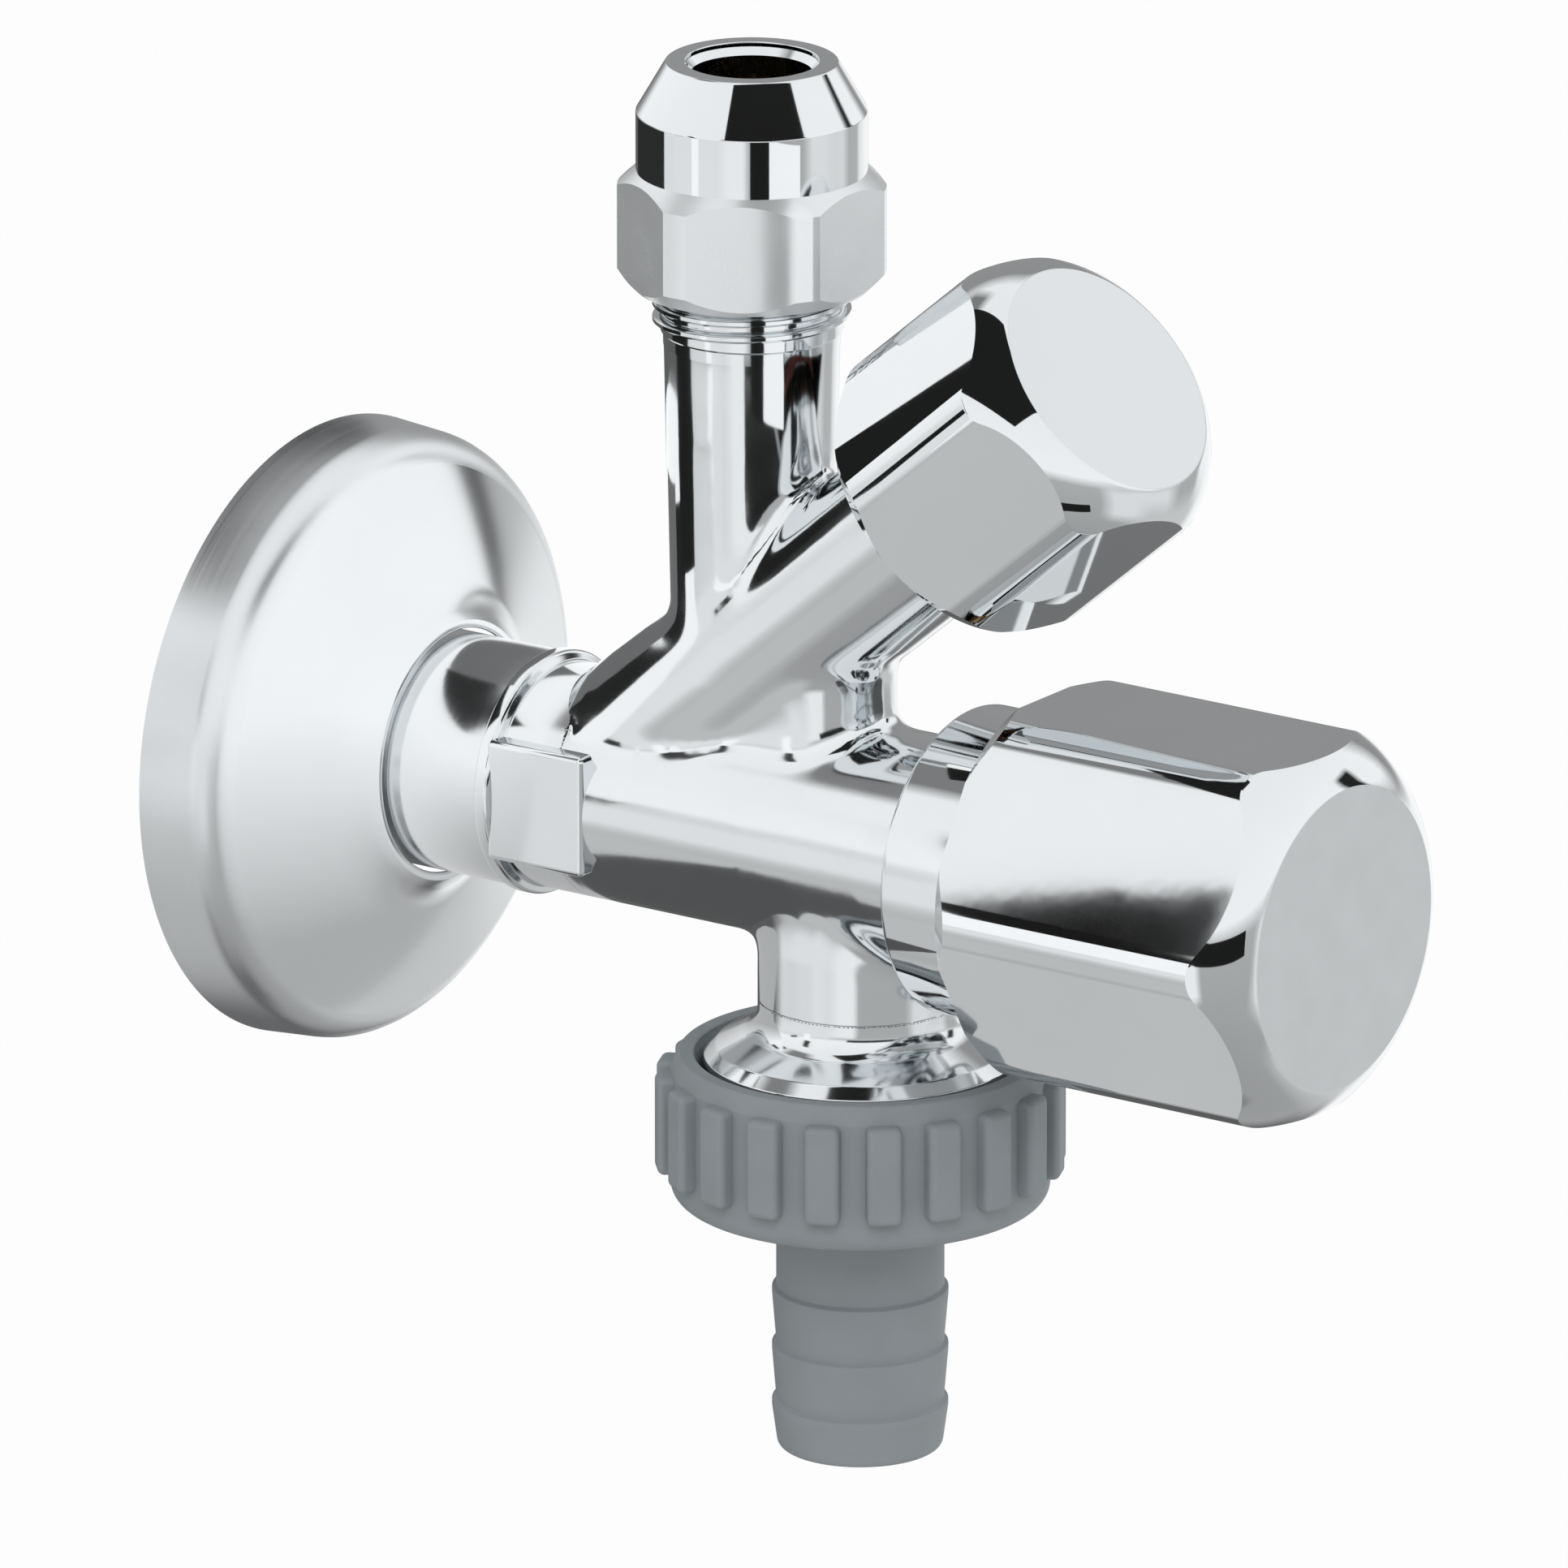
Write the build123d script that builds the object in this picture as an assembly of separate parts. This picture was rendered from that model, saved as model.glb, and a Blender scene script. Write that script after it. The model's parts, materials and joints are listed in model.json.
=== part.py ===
from build123d import *
import math
import os
from dataclasses import dataclass

# A double angle valve for a washing machine, in millimetres. The wall is the plane Y = 0 and the valve
# stands out of it towards -Y, with +Z up. The inlet axis runs through the origin.
# "Out" is a distance from the wall along -Y, and "along" is a distance on a sub-part's own axis.

# Where the four axes lie
pipe_outlet_out = 44.1
hose_outlet_out = 55.2
branch_root_out = 28.2
branch_angle = 40.3

# Inlet thread, neck and the wrench flats behind the casting
inlet_thread_radius = 10.48
inlet_thread_depth = 10.0
inlet_thread_front = 4.0
neck_radius = 10.1
collar_radius = 10.45
collar_back = 22.8
collar_front = 24.5
wrench_half_width = 9.35
wrench_half_height = 5.0
wrench_back = 23.8
wrench_front = 33.6

# Cast tubes
main_tube_radius = 9.65
main_tube_past_hose = 12.8
main_tube_end = hose_outlet_out + main_tube_past_hose
branch_root_radius = 7.7
branch_tip_radius = 7.8
branch_past_pipe = 28.35
pipe_tube_radius = 7.4
pipe_root_radius = 6.8
pipe_thread_radius = 8.33
pipe_thread_start = 42.0
pipe_thread_end = 54.0
hose_tube_radius = 8.6
hose_flare_start = 15.0
hose_flange_top = 19.0
hose_flange_radius = 13.15
hose_thread_start = 19.6
hose_thread_radius = 13.22
hose_thread_end = 26.5
web_radius = 6.0
web_past_pipe = 7.5
web_root_round = 1.8
keel_tip_radius = 4.3
keel_reach = 7.85

# Passages
inlet_bore_radius = 5.5
inlet_bore_to_seat = 5.5
lower_seat_radius = 4.4
upper_seat_radius = 3.2
seat_lip_height = 0.8
seat_lip_width = 0.9
pipe_bore_radius = 4.3
hose_bore_radius = 5.4
cartridge_top = 16.2

# Lower and upper shut-offs, along the inlet axis and along the branch
lower_seat_before_hose = 5.9
lower_chamber_radius = 7.0
lower_bonnet_radius = 7.6
lower_piston_radius = 5.75
lower_guide_flats = 9.4
lower_spindle_radius = 3.0
upper_seat_before_pipe = 3.25
upper_chamber_radius = 5.5
upper_bonnet_radius = 5.9
upper_piston_radius = 4.5
upper_guide_flats = 7.2
upper_spindle_radius = 2.2
piston_travel = 3.75
washer_thickness = 2.4
lower_engagement = 7.6
upper_engagement = 17.0
bonnet_wall = 1.2
bonnet_seal_thickness = 1.0
bonnet_head_height = 2.5
spindle_collar_height = 1.2
spindle_bearing = 3.4
clip_thickness = 0.6
clip_width = 1.1
spline_count = 8
spline_length = 7.5
spline_notch = 0.9
ring_section = 0.9
piston_groove_depth = 0.5
piston_groove_height = 0.6
spindle_groove_depth = 0.6
piston_floor = 1.8
piston_overlap = 2.0
piston_guide_height = 1.4
piston_play = 0.2
shaft_chamfer = 0.4

# Cover ring behind the lower knob
sleeve_radius = 13.1
sleeve_overlap = 1.8
sleeve_length = 6.9
sleeve_wall = 1.0

# Knobs
lower_knob_past_sleeve = 0.7
lower_knob_length = 30.1
lower_knob_corner_radius = 17.1
lower_knob_face_radius = 12.8
lower_knob_corner_round = 4.2
lower_knob_shoulder = 5.1
lower_knob_turn = 0.0
upper_knob_overlap = 1.6
upper_knob_length = 20.3
upper_knob_corner_radius = 13.85
upper_knob_face_radius = 10.5
upper_knob_corner_round = 3.8
upper_knob_shoulder = 5.4
knob_shoulder_bulge = 0.7
upper_knob_turn = -13.0
knob_back_bevel_width = 1.6
knob_back_bevel_height = 2.1
knob_wall = 1.7
knob_face_wall = 2.0
hub_wall = 1.2
insert_wall = 1.1

# Wall escutcheon
escutcheon_radius = 26.5
escutcheon_crest_radius = 25.95
escutcheon_crest = 7.2
escutcheon_crest_round = 1.5
escutcheon_foot_radius = 12.6
escutcheon_foot = 10.9
escutcheon_lip = 14.0
escutcheon_lip_radius = 11.4
escutcheon_foot_round = 3.6
escutcheon_sheet = 0.8

# Compression nut and what it presses on
nut_bottom = 46.0
nut_hex_top = 56.0
nut_shoulder = 61.0
nut_top = 65.3
nut_flats = 20.4
nut_truncation_radius = 11.2
nut_barrel_radius = 9.65
nut_mouth_outer_radius = 7.15
nut_mouth_radius = 5.6
nut_chamfer = 1.4
pipe_radius = 5.05
pipe_stop = 46.5
olive_radius = 6.9
olive_bottom = 53.2
olive_top = 55.6
thrust_ring_top = 57.0

# Union nut, hose tail and gasket
union_nut_bottom = 31.6
union_nut_floor = 29.8
union_nut_radius = 15.9
union_nut_top = 18.8
union_nut_top_radius = 15.2
union_nut_mouth_radius = 13.9
union_nut_round = 1.6
rib_count = 20
rib_crest_radius = 17.2
rib_width = 2.95
rib_top = 20.3
rib_bottom = 28.8
rib_first_angle = 30.0
tail_flange_radius = 12.7
tail_hub_radius = 8.2
tail_radius = 7.05
tail_bore_radius = 4.7
barb_radius = 7.4
barb_first = 39.4
barb_pitch = 4.95
barb_count = 3
tail_end = 53.4
tail_end_radius = 6.9
gasket_thickness = 1.5
gasket_bore_radius = 7.6

# Backflow cartridge in the lower outlet
cartridge_radius = 6.9
cartridge_length = 9.6
cartridge_wall = 1.0
check_seat_radius = 3.9
check_seat_height = 2.6
poppet_radius = 4.8
poppet_thickness = 1.2
stem_radius = 1.0
guide_hub_radius = 2.2
guide_arm_width = 1.4
guide_height = 1.4
spring_radius = 1.75
spring_wire = 0.3
spring_turns = 4

# Clearances
running_gap = 0.05
thread_gap = 0.05
loose_gap = 0.3

inlet_line = Plane(origin=(0, 0, 0), x_dir=(1, 0, 0), z_dir=(0, -1, 0))
pipe_line = Plane(origin=(0, -pipe_outlet_out, 0), x_dir=(1, 0, 0), z_dir=(0, 0, 1))
hose_line = Plane(origin=(0, -hose_outlet_out, 0), x_dir=(1, 0, 0), z_dir=(0, 0, -1))
branch_cos = math.cos(math.radians(branch_angle))
branch_sin = math.sin(math.radians(branch_angle))
branch_line = Plane(origin=(0, -branch_root_out, 0), x_dir=(1, 0, 0), z_dir=(0, -branch_cos, branch_sin))

# Places that follow from the outlets
pipe_crossing_along = (pipe_outlet_out - branch_root_out) / branch_cos
pipe_crossing_height = pipe_crossing_along * branch_sin
web_out = pipe_outlet_out + web_past_pipe
lower_seat = hose_outlet_out - lower_seat_before_hose
inlet_bore_end = lower_seat - inlet_bore_to_seat
sleeve_back = main_tube_end - sleeve_overlap
sleeve_front = sleeve_back + sleeve_length
lower_knob_back = sleeve_front + lower_knob_past_sleeve
lower_knob_front = lower_knob_back + lower_knob_length
upper_seat = pipe_crossing_along - upper_seat_before_pipe
branch_end = pipe_crossing_along + branch_past_pipe
upper_knob_back = branch_end - upper_knob_overlap
upper_knob_front = upper_knob_back + upper_knob_length


def outline(*corners):
    """Closed face through (across, along) corners; a third value rounds that corner."""
    points = [corner[:2] for corner in corners]
    rounds = [corner[2] if len(corner) > 2 else 0 for corner in corners]
    return make_face(FilletPolyline(*points, radius=rounds, close=True))


def turned(line, *corners):
    """Solid turned about an axis, from (radius, along) corners."""
    return line * revolve(Plane.XZ * outline(*corners), Axis.Z)


def rod(line, radius, start, end):
    """Plain round bar along an axis."""
    return turned(line, (0, start), (radius, start), (radius, end), (0, end))


def tube(line, outer, inner, start, end):
    """Plain round pipe along an axis."""
    return turned(line, (inner, start), (outer, start), (outer, end), (inner, end))


def hexagon_bar(line, across_flats, start, end, turn=0.0, corner_round=0.0):
    """Hexagonal bar along an axis, with flats facing the plane's Y when not turned."""
    section = RegularPolygon(across_flats / 2, 6, major_radius=False, rotation=turn)
    if corner_round:
        section = fillet(section.vertices(), corner_round)
    return line * Pos(0, 0, start) * extrude(section, end - start)


# The casting

def main_tube():
    """Inlet thread, neck, collar and horizontal tube, with the block that gives the wrench its flats."""
    bar = turned(
        inlet_line,
        (0, -inlet_thread_depth),
        (inlet_thread_radius - 1, -inlet_thread_depth),
        (inlet_thread_radius, 1 - inlet_thread_depth),
        (inlet_thread_radius, inlet_thread_front),
        (neck_radius, inlet_thread_front + 0.6),
        (neck_radius, collar_back),
        (collar_radius, collar_back, 0.3),
        (collar_radius, collar_front, 0.4),
        (main_tube_radius, collar_front, 0.2),
        (main_tube_radius, main_tube_end),
        (0, main_tube_end),
    )
    block_length = wrench_front - wrench_back
    block = Box(2 * wrench_half_width, block_length, 2 * wrench_half_height)
    return bar + Pos(0, -wrench_back - block_length / 2, 0) * block


def branch_tube():
    """Slanting tube of the upper shut-off, a little wider towards the knob."""
    return turned(
        branch_line,
        (0, 0),
        (branch_root_radius, 0),
        (branch_tip_radius, branch_end),
        (0, branch_end),
    )


def pipe_tube():
    """Upper outlet with its outside thread, standing on the branch axis."""
    return turned(
        pipe_line,
        (0, pipe_crossing_height),
        (pipe_root_radius, pipe_crossing_height),
        (pipe_tube_radius, pipe_thread_start),
        (pipe_thread_radius, pipe_thread_start + 0.5),
        (pipe_thread_radius, pipe_thread_end - 0.8),
        (pipe_thread_radius - 0.8, pipe_thread_end),
        (0, pipe_thread_end),
    )


def hose_tube():
    """Lower outlet, flared to the flange above its outside thread."""
    return turned(
        hose_line,
        (0, 0),
        (hose_tube_radius, 0),
        (hose_tube_radius, hose_flare_start + 1.2, 2.4),
        (hose_flange_radius - 1.0, hose_flange_top - 0.9, 1.0),
        (hose_flange_radius, hose_flange_top, 0.2),
        (hose_flange_radius, hose_thread_start),
        (hose_thread_radius, hose_thread_start),
        (hose_thread_radius, hose_thread_end - 0.8),
        (hose_thread_radius - 0.8, hose_thread_end),
        (0, hose_thread_end),
    )


def cast_web():
    """Filling between the main tube and the branch, ending in a round front."""
    crotch_out = branch_root_out + branch_root_radius
    section = Pos(0, -web_out) * Circle(web_radius)
    section += Pos(0, -(web_out + crotch_out) / 2) * Rectangle(2 * web_radius, web_out - crotch_out)
    column = extrude(section, branch_end)
    under_branch = Plane(origin=branch_line.origin, x_dir=(1, 0, 0), z_dir=branch_line.y_dir)
    return split(column, bisect_by=under_branch, keep=Keep.BOTTOM)


def branch_keel():
    """Rounded keel that carries the web on under the branch and narrows towards the knob."""
    start = (web_out - branch_root_out) / branch_cos
    sections = []
    for along, radius in ((start, web_radius), (branch_end - 1, keel_tip_radius)):
        sections.append(branch_line * Pos(0, radius - keel_reach, along) * Circle(radius))
    return loft(sections)


def passages():
    """All bores of the casting, as one cutting body."""
    lip_bottom_lower = lower_seat - seat_lip_height
    lip_bottom_upper = upper_seat - seat_lip_height
    lower_lip_radius = lower_seat_radius + seat_lip_width
    upper_lip_radius = upper_seat_radius + seat_lip_width
    cutters = [
        rod(inlet_line, inlet_bore_radius, -inlet_thread_depth, inlet_bore_end),
        rod(inlet_line, lower_seat_radius, inlet_bore_end - 1, lower_seat),
        tube(inlet_line, lower_chamber_radius, lower_lip_radius, lip_bottom_lower, lower_seat),
        rod(inlet_line, lower_chamber_radius, lower_seat, main_tube_end),
        rod(inlet_line, lower_bonnet_radius, main_tube_end - lower_engagement, main_tube_end),
        rod(branch_line, upper_seat_radius, 0, upper_seat),
        tube(branch_line, upper_chamber_radius, upper_lip_radius, lip_bottom_upper, upper_seat),
        rod(branch_line, upper_chamber_radius, upper_seat, branch_end),
        rod(branch_line, upper_bonnet_radius, branch_end - upper_engagement, branch_end),
        rod(pipe_line, pipe_bore_radius, pipe_crossing_height, pipe_thread_end),
        rod(pipe_line, pipe_radius, pipe_stop, pipe_thread_end),
        turned(
            pipe_line,
            (0, olive_bottom),
            (pipe_radius, olive_bottom),
            (olive_radius, pipe_thread_end),
            (0, pipe_thread_end),
        ),
        rod(hose_line, hose_bore_radius, 0, cartridge_top),
        rod(hose_line, cartridge_radius + running_gap, cartridge_top, hose_thread_end),
    ]
    return Part() + cutters


def trunk():
    """Main tube and web, with a casting round where the web's sides and front stand on the tube."""
    web = cast_web()
    joined = main_tube() + web
    back_of_web = web.faces().sort_by(Axis.Y)[-1].center().Y
    on_tube = [
        edge
        for edge in joined.edges()
        if edge.bounding_box().min.Z > 0
        and edge.bounding_box().min.Y < back_of_web - loose_gap
        and abs(math.hypot((edge @ 0.3).X, (edge @ 0.3).Z) - main_tube_radius) < running_gap
        and abs((edge @ 0.3).X) <= web_radius + running_gap
        and (edge @ 0.3).Y > -web_out - web_radius - running_gap
    ]
    return fillet(on_tube, web_root_round)


def valve_body():
    """One brass casting: four tubes, the web between them and the bores through them."""
    tubes = trunk() + branch_tube() + branch_keel() + pipe_tube() + hose_tube()
    return tubes - passages()


# Shut-offs

@dataclass
class ShutOff:
    """Sizes of one shut-off along its own axis, worked out from the body and the bonnet."""

    line: Plane
    seat: float
    body_end: float
    body_radius: float
    engagement: float
    seat_radius: float
    bonnet_radius: float
    piston_radius: float
    guide_flats: float
    spindle_radius: float

    def __post_init__(self):
        self.bonnet_start = self.body_end - self.engagement
        self.piston_foot = self.seat + washer_thickness
        self.bore_floor = self.piston_foot + piston_floor
        self.round_top = self.bonnet_start + piston_overlap
        self.piston_groove = self.bonnet_start + piston_groove_height
        self.guide_start = self.round_top + piston_travel + piston_play
        self.piston_top = self.guide_start + piston_guide_height
        self.collar_foot = self.piston_top + piston_travel + piston_play
        self.collar_top = self.collar_foot + spindle_collar_height
        self.head_foot = self.body_end + bonnet_seal_thickness
        self.head_top = self.head_foot + bonnet_head_height
        self.nose_top = max(self.head_top, self.collar_top) + spindle_bearing
        self.spindle_groove = self.nose_top - spindle_bearing / 2
        self.clip_foot = self.nose_top + running_gap
        self.spline_foot = self.clip_foot + clip_thickness + shaft_chamfer
        self.spindle_top = self.spline_foot + spline_length


lower = ShutOff(
    inlet_line,
    lower_seat,
    main_tube_end,
    main_tube_radius,
    lower_engagement,
    lower_seat_radius,
    lower_bonnet_radius,
    lower_piston_radius,
    lower_guide_flats,
    lower_spindle_radius,
)
upper = ShutOff(
    branch_line,
    upper_seat,
    branch_end,
    branch_tip_radius,
    upper_engagement,
    upper_seat_radius,
    upper_bonnet_radius,
    upper_piston_radius,
    upper_guide_flats,
    upper_spindle_radius,
)


def bonnet(size):
    """Screwed bushing that guides the piston and carries the spindle."""
    nose_radius = size.guide_flats / 2 + bonnet_wall
    outside = turned(
        size.line,
        (0, size.bonnet_start),
        (size.bonnet_radius - thread_gap - shaft_chamfer, size.bonnet_start),
        (size.bonnet_radius - thread_gap, size.bonnet_start + shaft_chamfer),
        (size.bonnet_radius - thread_gap, size.head_foot),
        (nose_radius, size.head_foot),
        (nose_radius, size.nose_top - shaft_chamfer),
        (nose_radius - shaft_chamfer, size.nose_top),
        (0, size.nose_top),
    )
    head = hexagon_bar(size.line, 2 * size.body_radius * 0.94, size.head_foot, size.head_top)
    head &= rod(size.line, size.body_radius, size.head_foot, size.head_top)
    round_bore = rod(size.line, size.piston_radius + running_gap, size.bonnet_start, size.guide_start)
    guide = hexagon_bar(size.line, size.guide_flats + 2 * running_gap, size.guide_start, size.collar_top)
    shaft_bore = rod(size.line, size.spindle_radius + running_gap, size.collar_top, size.nose_top)
    return outside + head - round_bore - guide - shaft_bore


def bonnet_seal(size):
    """Flat fibre ring under the bonnet's head."""
    return tube(size.line, size.body_radius - 0.3, size.bonnet_radius, size.body_end, size.head_foot)


def piston(size):
    """Rising piston: round below, hexagonal above, bored for the spindle's thread."""
    groove_top = size.piston_groove + ring_section
    body = turned(
        size.line,
        (0, size.piston_foot),
        (size.piston_radius, size.piston_foot, 0.3),
        (size.piston_radius, size.piston_groove),
        (size.piston_radius - piston_groove_depth, size.piston_groove),
        (size.piston_radius - piston_groove_depth, groove_top),
        (size.piston_radius, groove_top),
        (size.piston_radius, size.round_top),
        (0, size.round_top),
    )
    guide = hexagon_bar(size.line, size.guide_flats, size.round_top, size.piston_top)
    thread = rod(size.line, size.spindle_radius + thread_gap, size.bore_floor, size.piston_top)
    return body + guide - thread


def piston_ring(size):
    """Rubber ring in the piston's groove."""
    return tube(
        size.line,
        size.piston_radius,
        size.piston_radius - piston_groove_depth,
        size.piston_groove,
        size.piston_groove + ring_section,
    )


def seat_washer(size):
    """Rubber disc that closes the seat."""
    radius = size.seat_radius + seat_lip_width + 0.4
    return turned(
        size.line,
        (0, size.seat),
        (radius, size.seat, 0.3),
        (radius, size.piston_foot),
        (0, size.piston_foot),
    )


def spindle(size):
    """Turned spindle: thread in the piston, collar, bearing with a ring groove, and splines."""
    groove_foot = size.spindle_groove
    groove_radius = size.spindle_radius - spindle_groove_depth
    stop_radius = size.guide_flats / 2 - 0.2
    shaft = turned(
        size.line,
        (0, size.bore_floor + piston_travel + loose_gap),
        (size.spindle_radius, size.bore_floor + piston_travel + loose_gap, shaft_chamfer),
        (size.spindle_radius, size.collar_foot),
        (stop_radius, size.collar_foot),
        (stop_radius, size.collar_top),
        (size.spindle_radius, size.collar_top),
        (size.spindle_radius, groove_foot),
        (groove_radius, groove_foot),
        (groove_radius, groove_foot + ring_section),
        (size.spindle_radius, groove_foot + ring_section),
        (size.spindle_radius, size.clip_foot),
        (groove_radius, size.clip_foot),
        (groove_radius, size.clip_foot + clip_thickness),
        (size.spindle_radius, size.clip_foot + clip_thickness),
        (size.spindle_radius, size.spindle_top, shaft_chamfer),
        (0, size.spindle_top),
    )
    notch = Box(spline_notch, spline_notch, spline_length + 1)
    notch_height = size.spline_foot + (spline_length + 1) / 2
    for place in PolarLocations(size.spindle_radius, spline_count):
        shaft -= size.line * Pos(0, 0, notch_height) * place * notch
    return shaft


def spindle_ring(size):
    """Rubber ring in the spindle's groove."""
    return tube(
        size.line,
        size.spindle_radius,
        size.spindle_radius - spindle_groove_depth,
        size.spindle_groove,
        size.spindle_groove + ring_section,
    )


def spindle_clip(size):
    """Open spring clip that holds the spindle in the bonnet."""
    inner = size.spindle_radius - spindle_groove_depth
    ring = tube(
        size.line,
        size.spindle_radius + clip_width,
        inner,
        size.clip_foot,
        size.clip_foot + clip_thickness,
    )
    gap = Pos(0, size.spindle_radius, size.clip_foot) * Box(1.6 * inner, 2 * size.spindle_radius, 3)
    return ring - size.line * gap


def knob_outside(size, back, front, turn, corner_radius, face_radius, corner_round, shoulder):
    """Hexagonal bar with round corners, turned off behind and round at the shoulder."""
    flats = 2 * ((corner_radius - corner_round) * math.cos(math.pi / 6) + corner_round)
    envelope_radius = corner_radius + loose_gap
    narrowing = envelope_radius - face_radius
    bulge = knob_shoulder_bulge / math.hypot(narrowing, shoulder)
    arc = ThreePointArc(
        (envelope_radius, front - shoulder),
        (face_radius + narrowing / 2 + bulge * shoulder, front - shoulder / 2 + bulge * narrowing),
        (face_radius, front),
    )
    rim = Polyline(
        (face_radius, front),
        (0, front),
        (0, back),
        (envelope_radius - knob_back_bevel_width, back),
        (envelope_radius, back + knob_back_bevel_height),
        (envelope_radius, front - shoulder),
    )
    envelope = size.line * revolve(Plane.XZ * make_face([rim, arc]), Axis.Z)
    return hexagon_bar(size.line, flats, back, front, turn, corner_round) & envelope


def knob(size, back, front, turn, corner_radius, face_radius, corner_round, shoulder):
    """Hexagonal hollow knob with a rounded shoulder, a round face and a hub for the spindle."""
    outside = knob_outside(
        size,
        back,
        front,
        turn,
        corner_radius,
        face_radius,
        corner_round,
        shoulder,
    )
    inner_round = corner_round - knob_wall / 2
    inner_corner = corner_radius - knob_wall
    inner_flats = 2 * ((inner_corner - inner_round) * math.cos(math.pi / 6) + inner_round)
    cavity = hexagon_bar(size.line, inner_flats, back, front - shoulder, turn, inner_round)
    cavity += rod(size.line, face_radius - knob_wall, back, front - knob_face_wall)
    insert_radius = size.spindle_radius + running_gap + insert_wall
    hub_foot = size.spline_foot + loose_gap
    hub = rod(size.line, insert_radius + running_gap + hub_wall, hub_foot, front - knob_face_wall / 2)
    hub_bore = rod(size.line, insert_radius + running_gap, hub_foot, size.spindle_top + loose_gap)
    return outside - cavity + hub - hub_bore


def knob_insert(size):
    """Splined plastic bush between the spindle and the knob's hub."""
    outer = size.spindle_radius + running_gap + insert_wall
    inner = size.spindle_radius + running_gap
    return tube(size.line, outer, inner, size.spline_foot + loose_gap, size.spindle_top)


def lower_sleeve():
    """Open cup pressed on the end of the main tube."""
    return turned(
        inlet_line,
        (main_tube_radius + running_gap, sleeve_back),
        (sleeve_radius, sleeve_back, 0.4),
        (sleeve_radius, sleeve_front, 0.2),
        (sleeve_radius - sleeve_wall, sleeve_front),
        (sleeve_radius - sleeve_wall, sleeve_back + sleeve_wall),
        (main_tube_radius + running_gap, sleeve_back + sleeve_wall),
    )


# Escutcheon

def wall_escutcheon():
    """Pressed cover plate: rim, crest, sloping face and a short lip around the neck."""
    sheet = escutcheon_sheet
    return turned(
        inlet_line,
        (escutcheon_radius, 0),
        (escutcheon_crest_radius, escutcheon_crest, escutcheon_crest_round),
        (escutcheon_foot_radius, escutcheon_foot, escutcheon_foot_round),
        (escutcheon_lip_radius, escutcheon_lip, 0.3),
        (escutcheon_lip_radius - sheet, escutcheon_lip, 0.3),
        (escutcheon_foot_radius - sheet, escutcheon_foot - sheet, escutcheon_foot_round),
        (escutcheon_crest_radius - sheet, escutcheon_crest - sheet, escutcheon_crest_round - sheet),
        (escutcheon_radius - sheet, 0),
    )


# Compression nut

def compression_nut():
    """Hexagon, barrel and cone, threaded inside and bored for the pipe."""
    envelope = turned(
        pipe_line,
        (0, nut_bottom),
        (nut_truncation_radius - nut_chamfer, nut_bottom),
        (nut_truncation_radius, nut_bottom + nut_chamfer),
        (nut_truncation_radius, nut_hex_top - nut_chamfer),
        (nut_barrel_radius, nut_hex_top),
        (0, nut_hex_top),
    )
    outside = hexagon_bar(pipe_line, nut_flats, nut_bottom, nut_hex_top) & envelope
    outside += turned(
        pipe_line,
        (0, nut_hex_top),
        (nut_barrel_radius, nut_hex_top),
        (nut_barrel_radius, nut_shoulder, 0.3),
        (nut_mouth_outer_radius, nut_top, 0.3),
        (0, nut_top),
    )
    inside = turned(
        pipe_line,
        (0, nut_bottom),
        (pipe_thread_radius + thread_gap, nut_bottom),
        (pipe_thread_radius + thread_gap, thrust_ring_top - 1.2),
        (olive_radius + running_gap, thrust_ring_top),
        (pipe_radius, thrust_ring_top),
        (pipe_radius, nut_top - 1.0),
        (nut_mouth_radius, nut_top - 0.4),
        (nut_mouth_radius, nut_top),
        (0, nut_top),
    )
    return outside - inside


def pipe_olive():
    """Double-coned ring that grips the pipe."""
    return turned(
        pipe_line,
        (pipe_radius, olive_bottom),
        (olive_radius - 0.2, pipe_thread_end),
        (olive_radius - 0.2, pipe_thread_end + 0.4),
        (pipe_radius + 0.7, olive_top),
        (pipe_radius, olive_top),
    )


def thrust_ring():
    """Slip ring that presses the olive when the nut is tightened."""
    return turned(
        pipe_line,
        (pipe_radius + running_gap, olive_top),
        (pipe_radius + 0.7, olive_top),
        (olive_radius - 0.2, pipe_thread_end + 0.9),
        (olive_radius, thrust_ring_top),
        (pipe_radius + running_gap, thrust_ring_top),
    )


# Union nut and hose tail

def nut_rib():
    """One grip rib: a rounded bar standing out of the nut's wall."""
    length = rib_bottom - rib_top
    depth = rib_crest_radius - union_nut_radius + 1
    middle = (union_nut_radius - 1 + rib_crest_radius) / 2
    bar = Pos(middle, 0, rib_top + length / 2) * Box(depth, rib_width, length)
    crest_edges = bar.faces().sort_by(Axis.X)[-1].edges()
    return fillet(crest_edges, 0.55)


def union_nut():
    """Ribbed plastic nut, open above and with a holed floor below."""
    shell = turned(
        hose_line,
        (hose_thread_radius + thread_gap, rib_top),
        (union_nut_mouth_radius, rib_top - 0.8),
        (union_nut_top_radius, union_nut_top, 0.3),
        (union_nut_radius, rib_top, 0.5),
        (union_nut_radius, union_nut_bottom, union_nut_round),
        (tail_hub_radius + running_gap, union_nut_bottom),
        (tail_hub_radius + running_gap, union_nut_floor),
        (hose_thread_radius + thread_gap, union_nut_floor),
    )
    rib = nut_rib()
    ribs = []
    for index in range(rib_count):
        turn = rib_first_angle + index * 360 / rib_count
        ribs.append(hose_line * Rot(0, 0, turn) * rib)
    return shell + ribs


def hose_gasket():
    """Flat washer between the casting and the hose tail."""
    return tube(
        hose_line,
        tail_flange_radius,
        gasket_bore_radius,
        hose_thread_end,
        hose_thread_end + gasket_thickness,
    )


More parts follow.
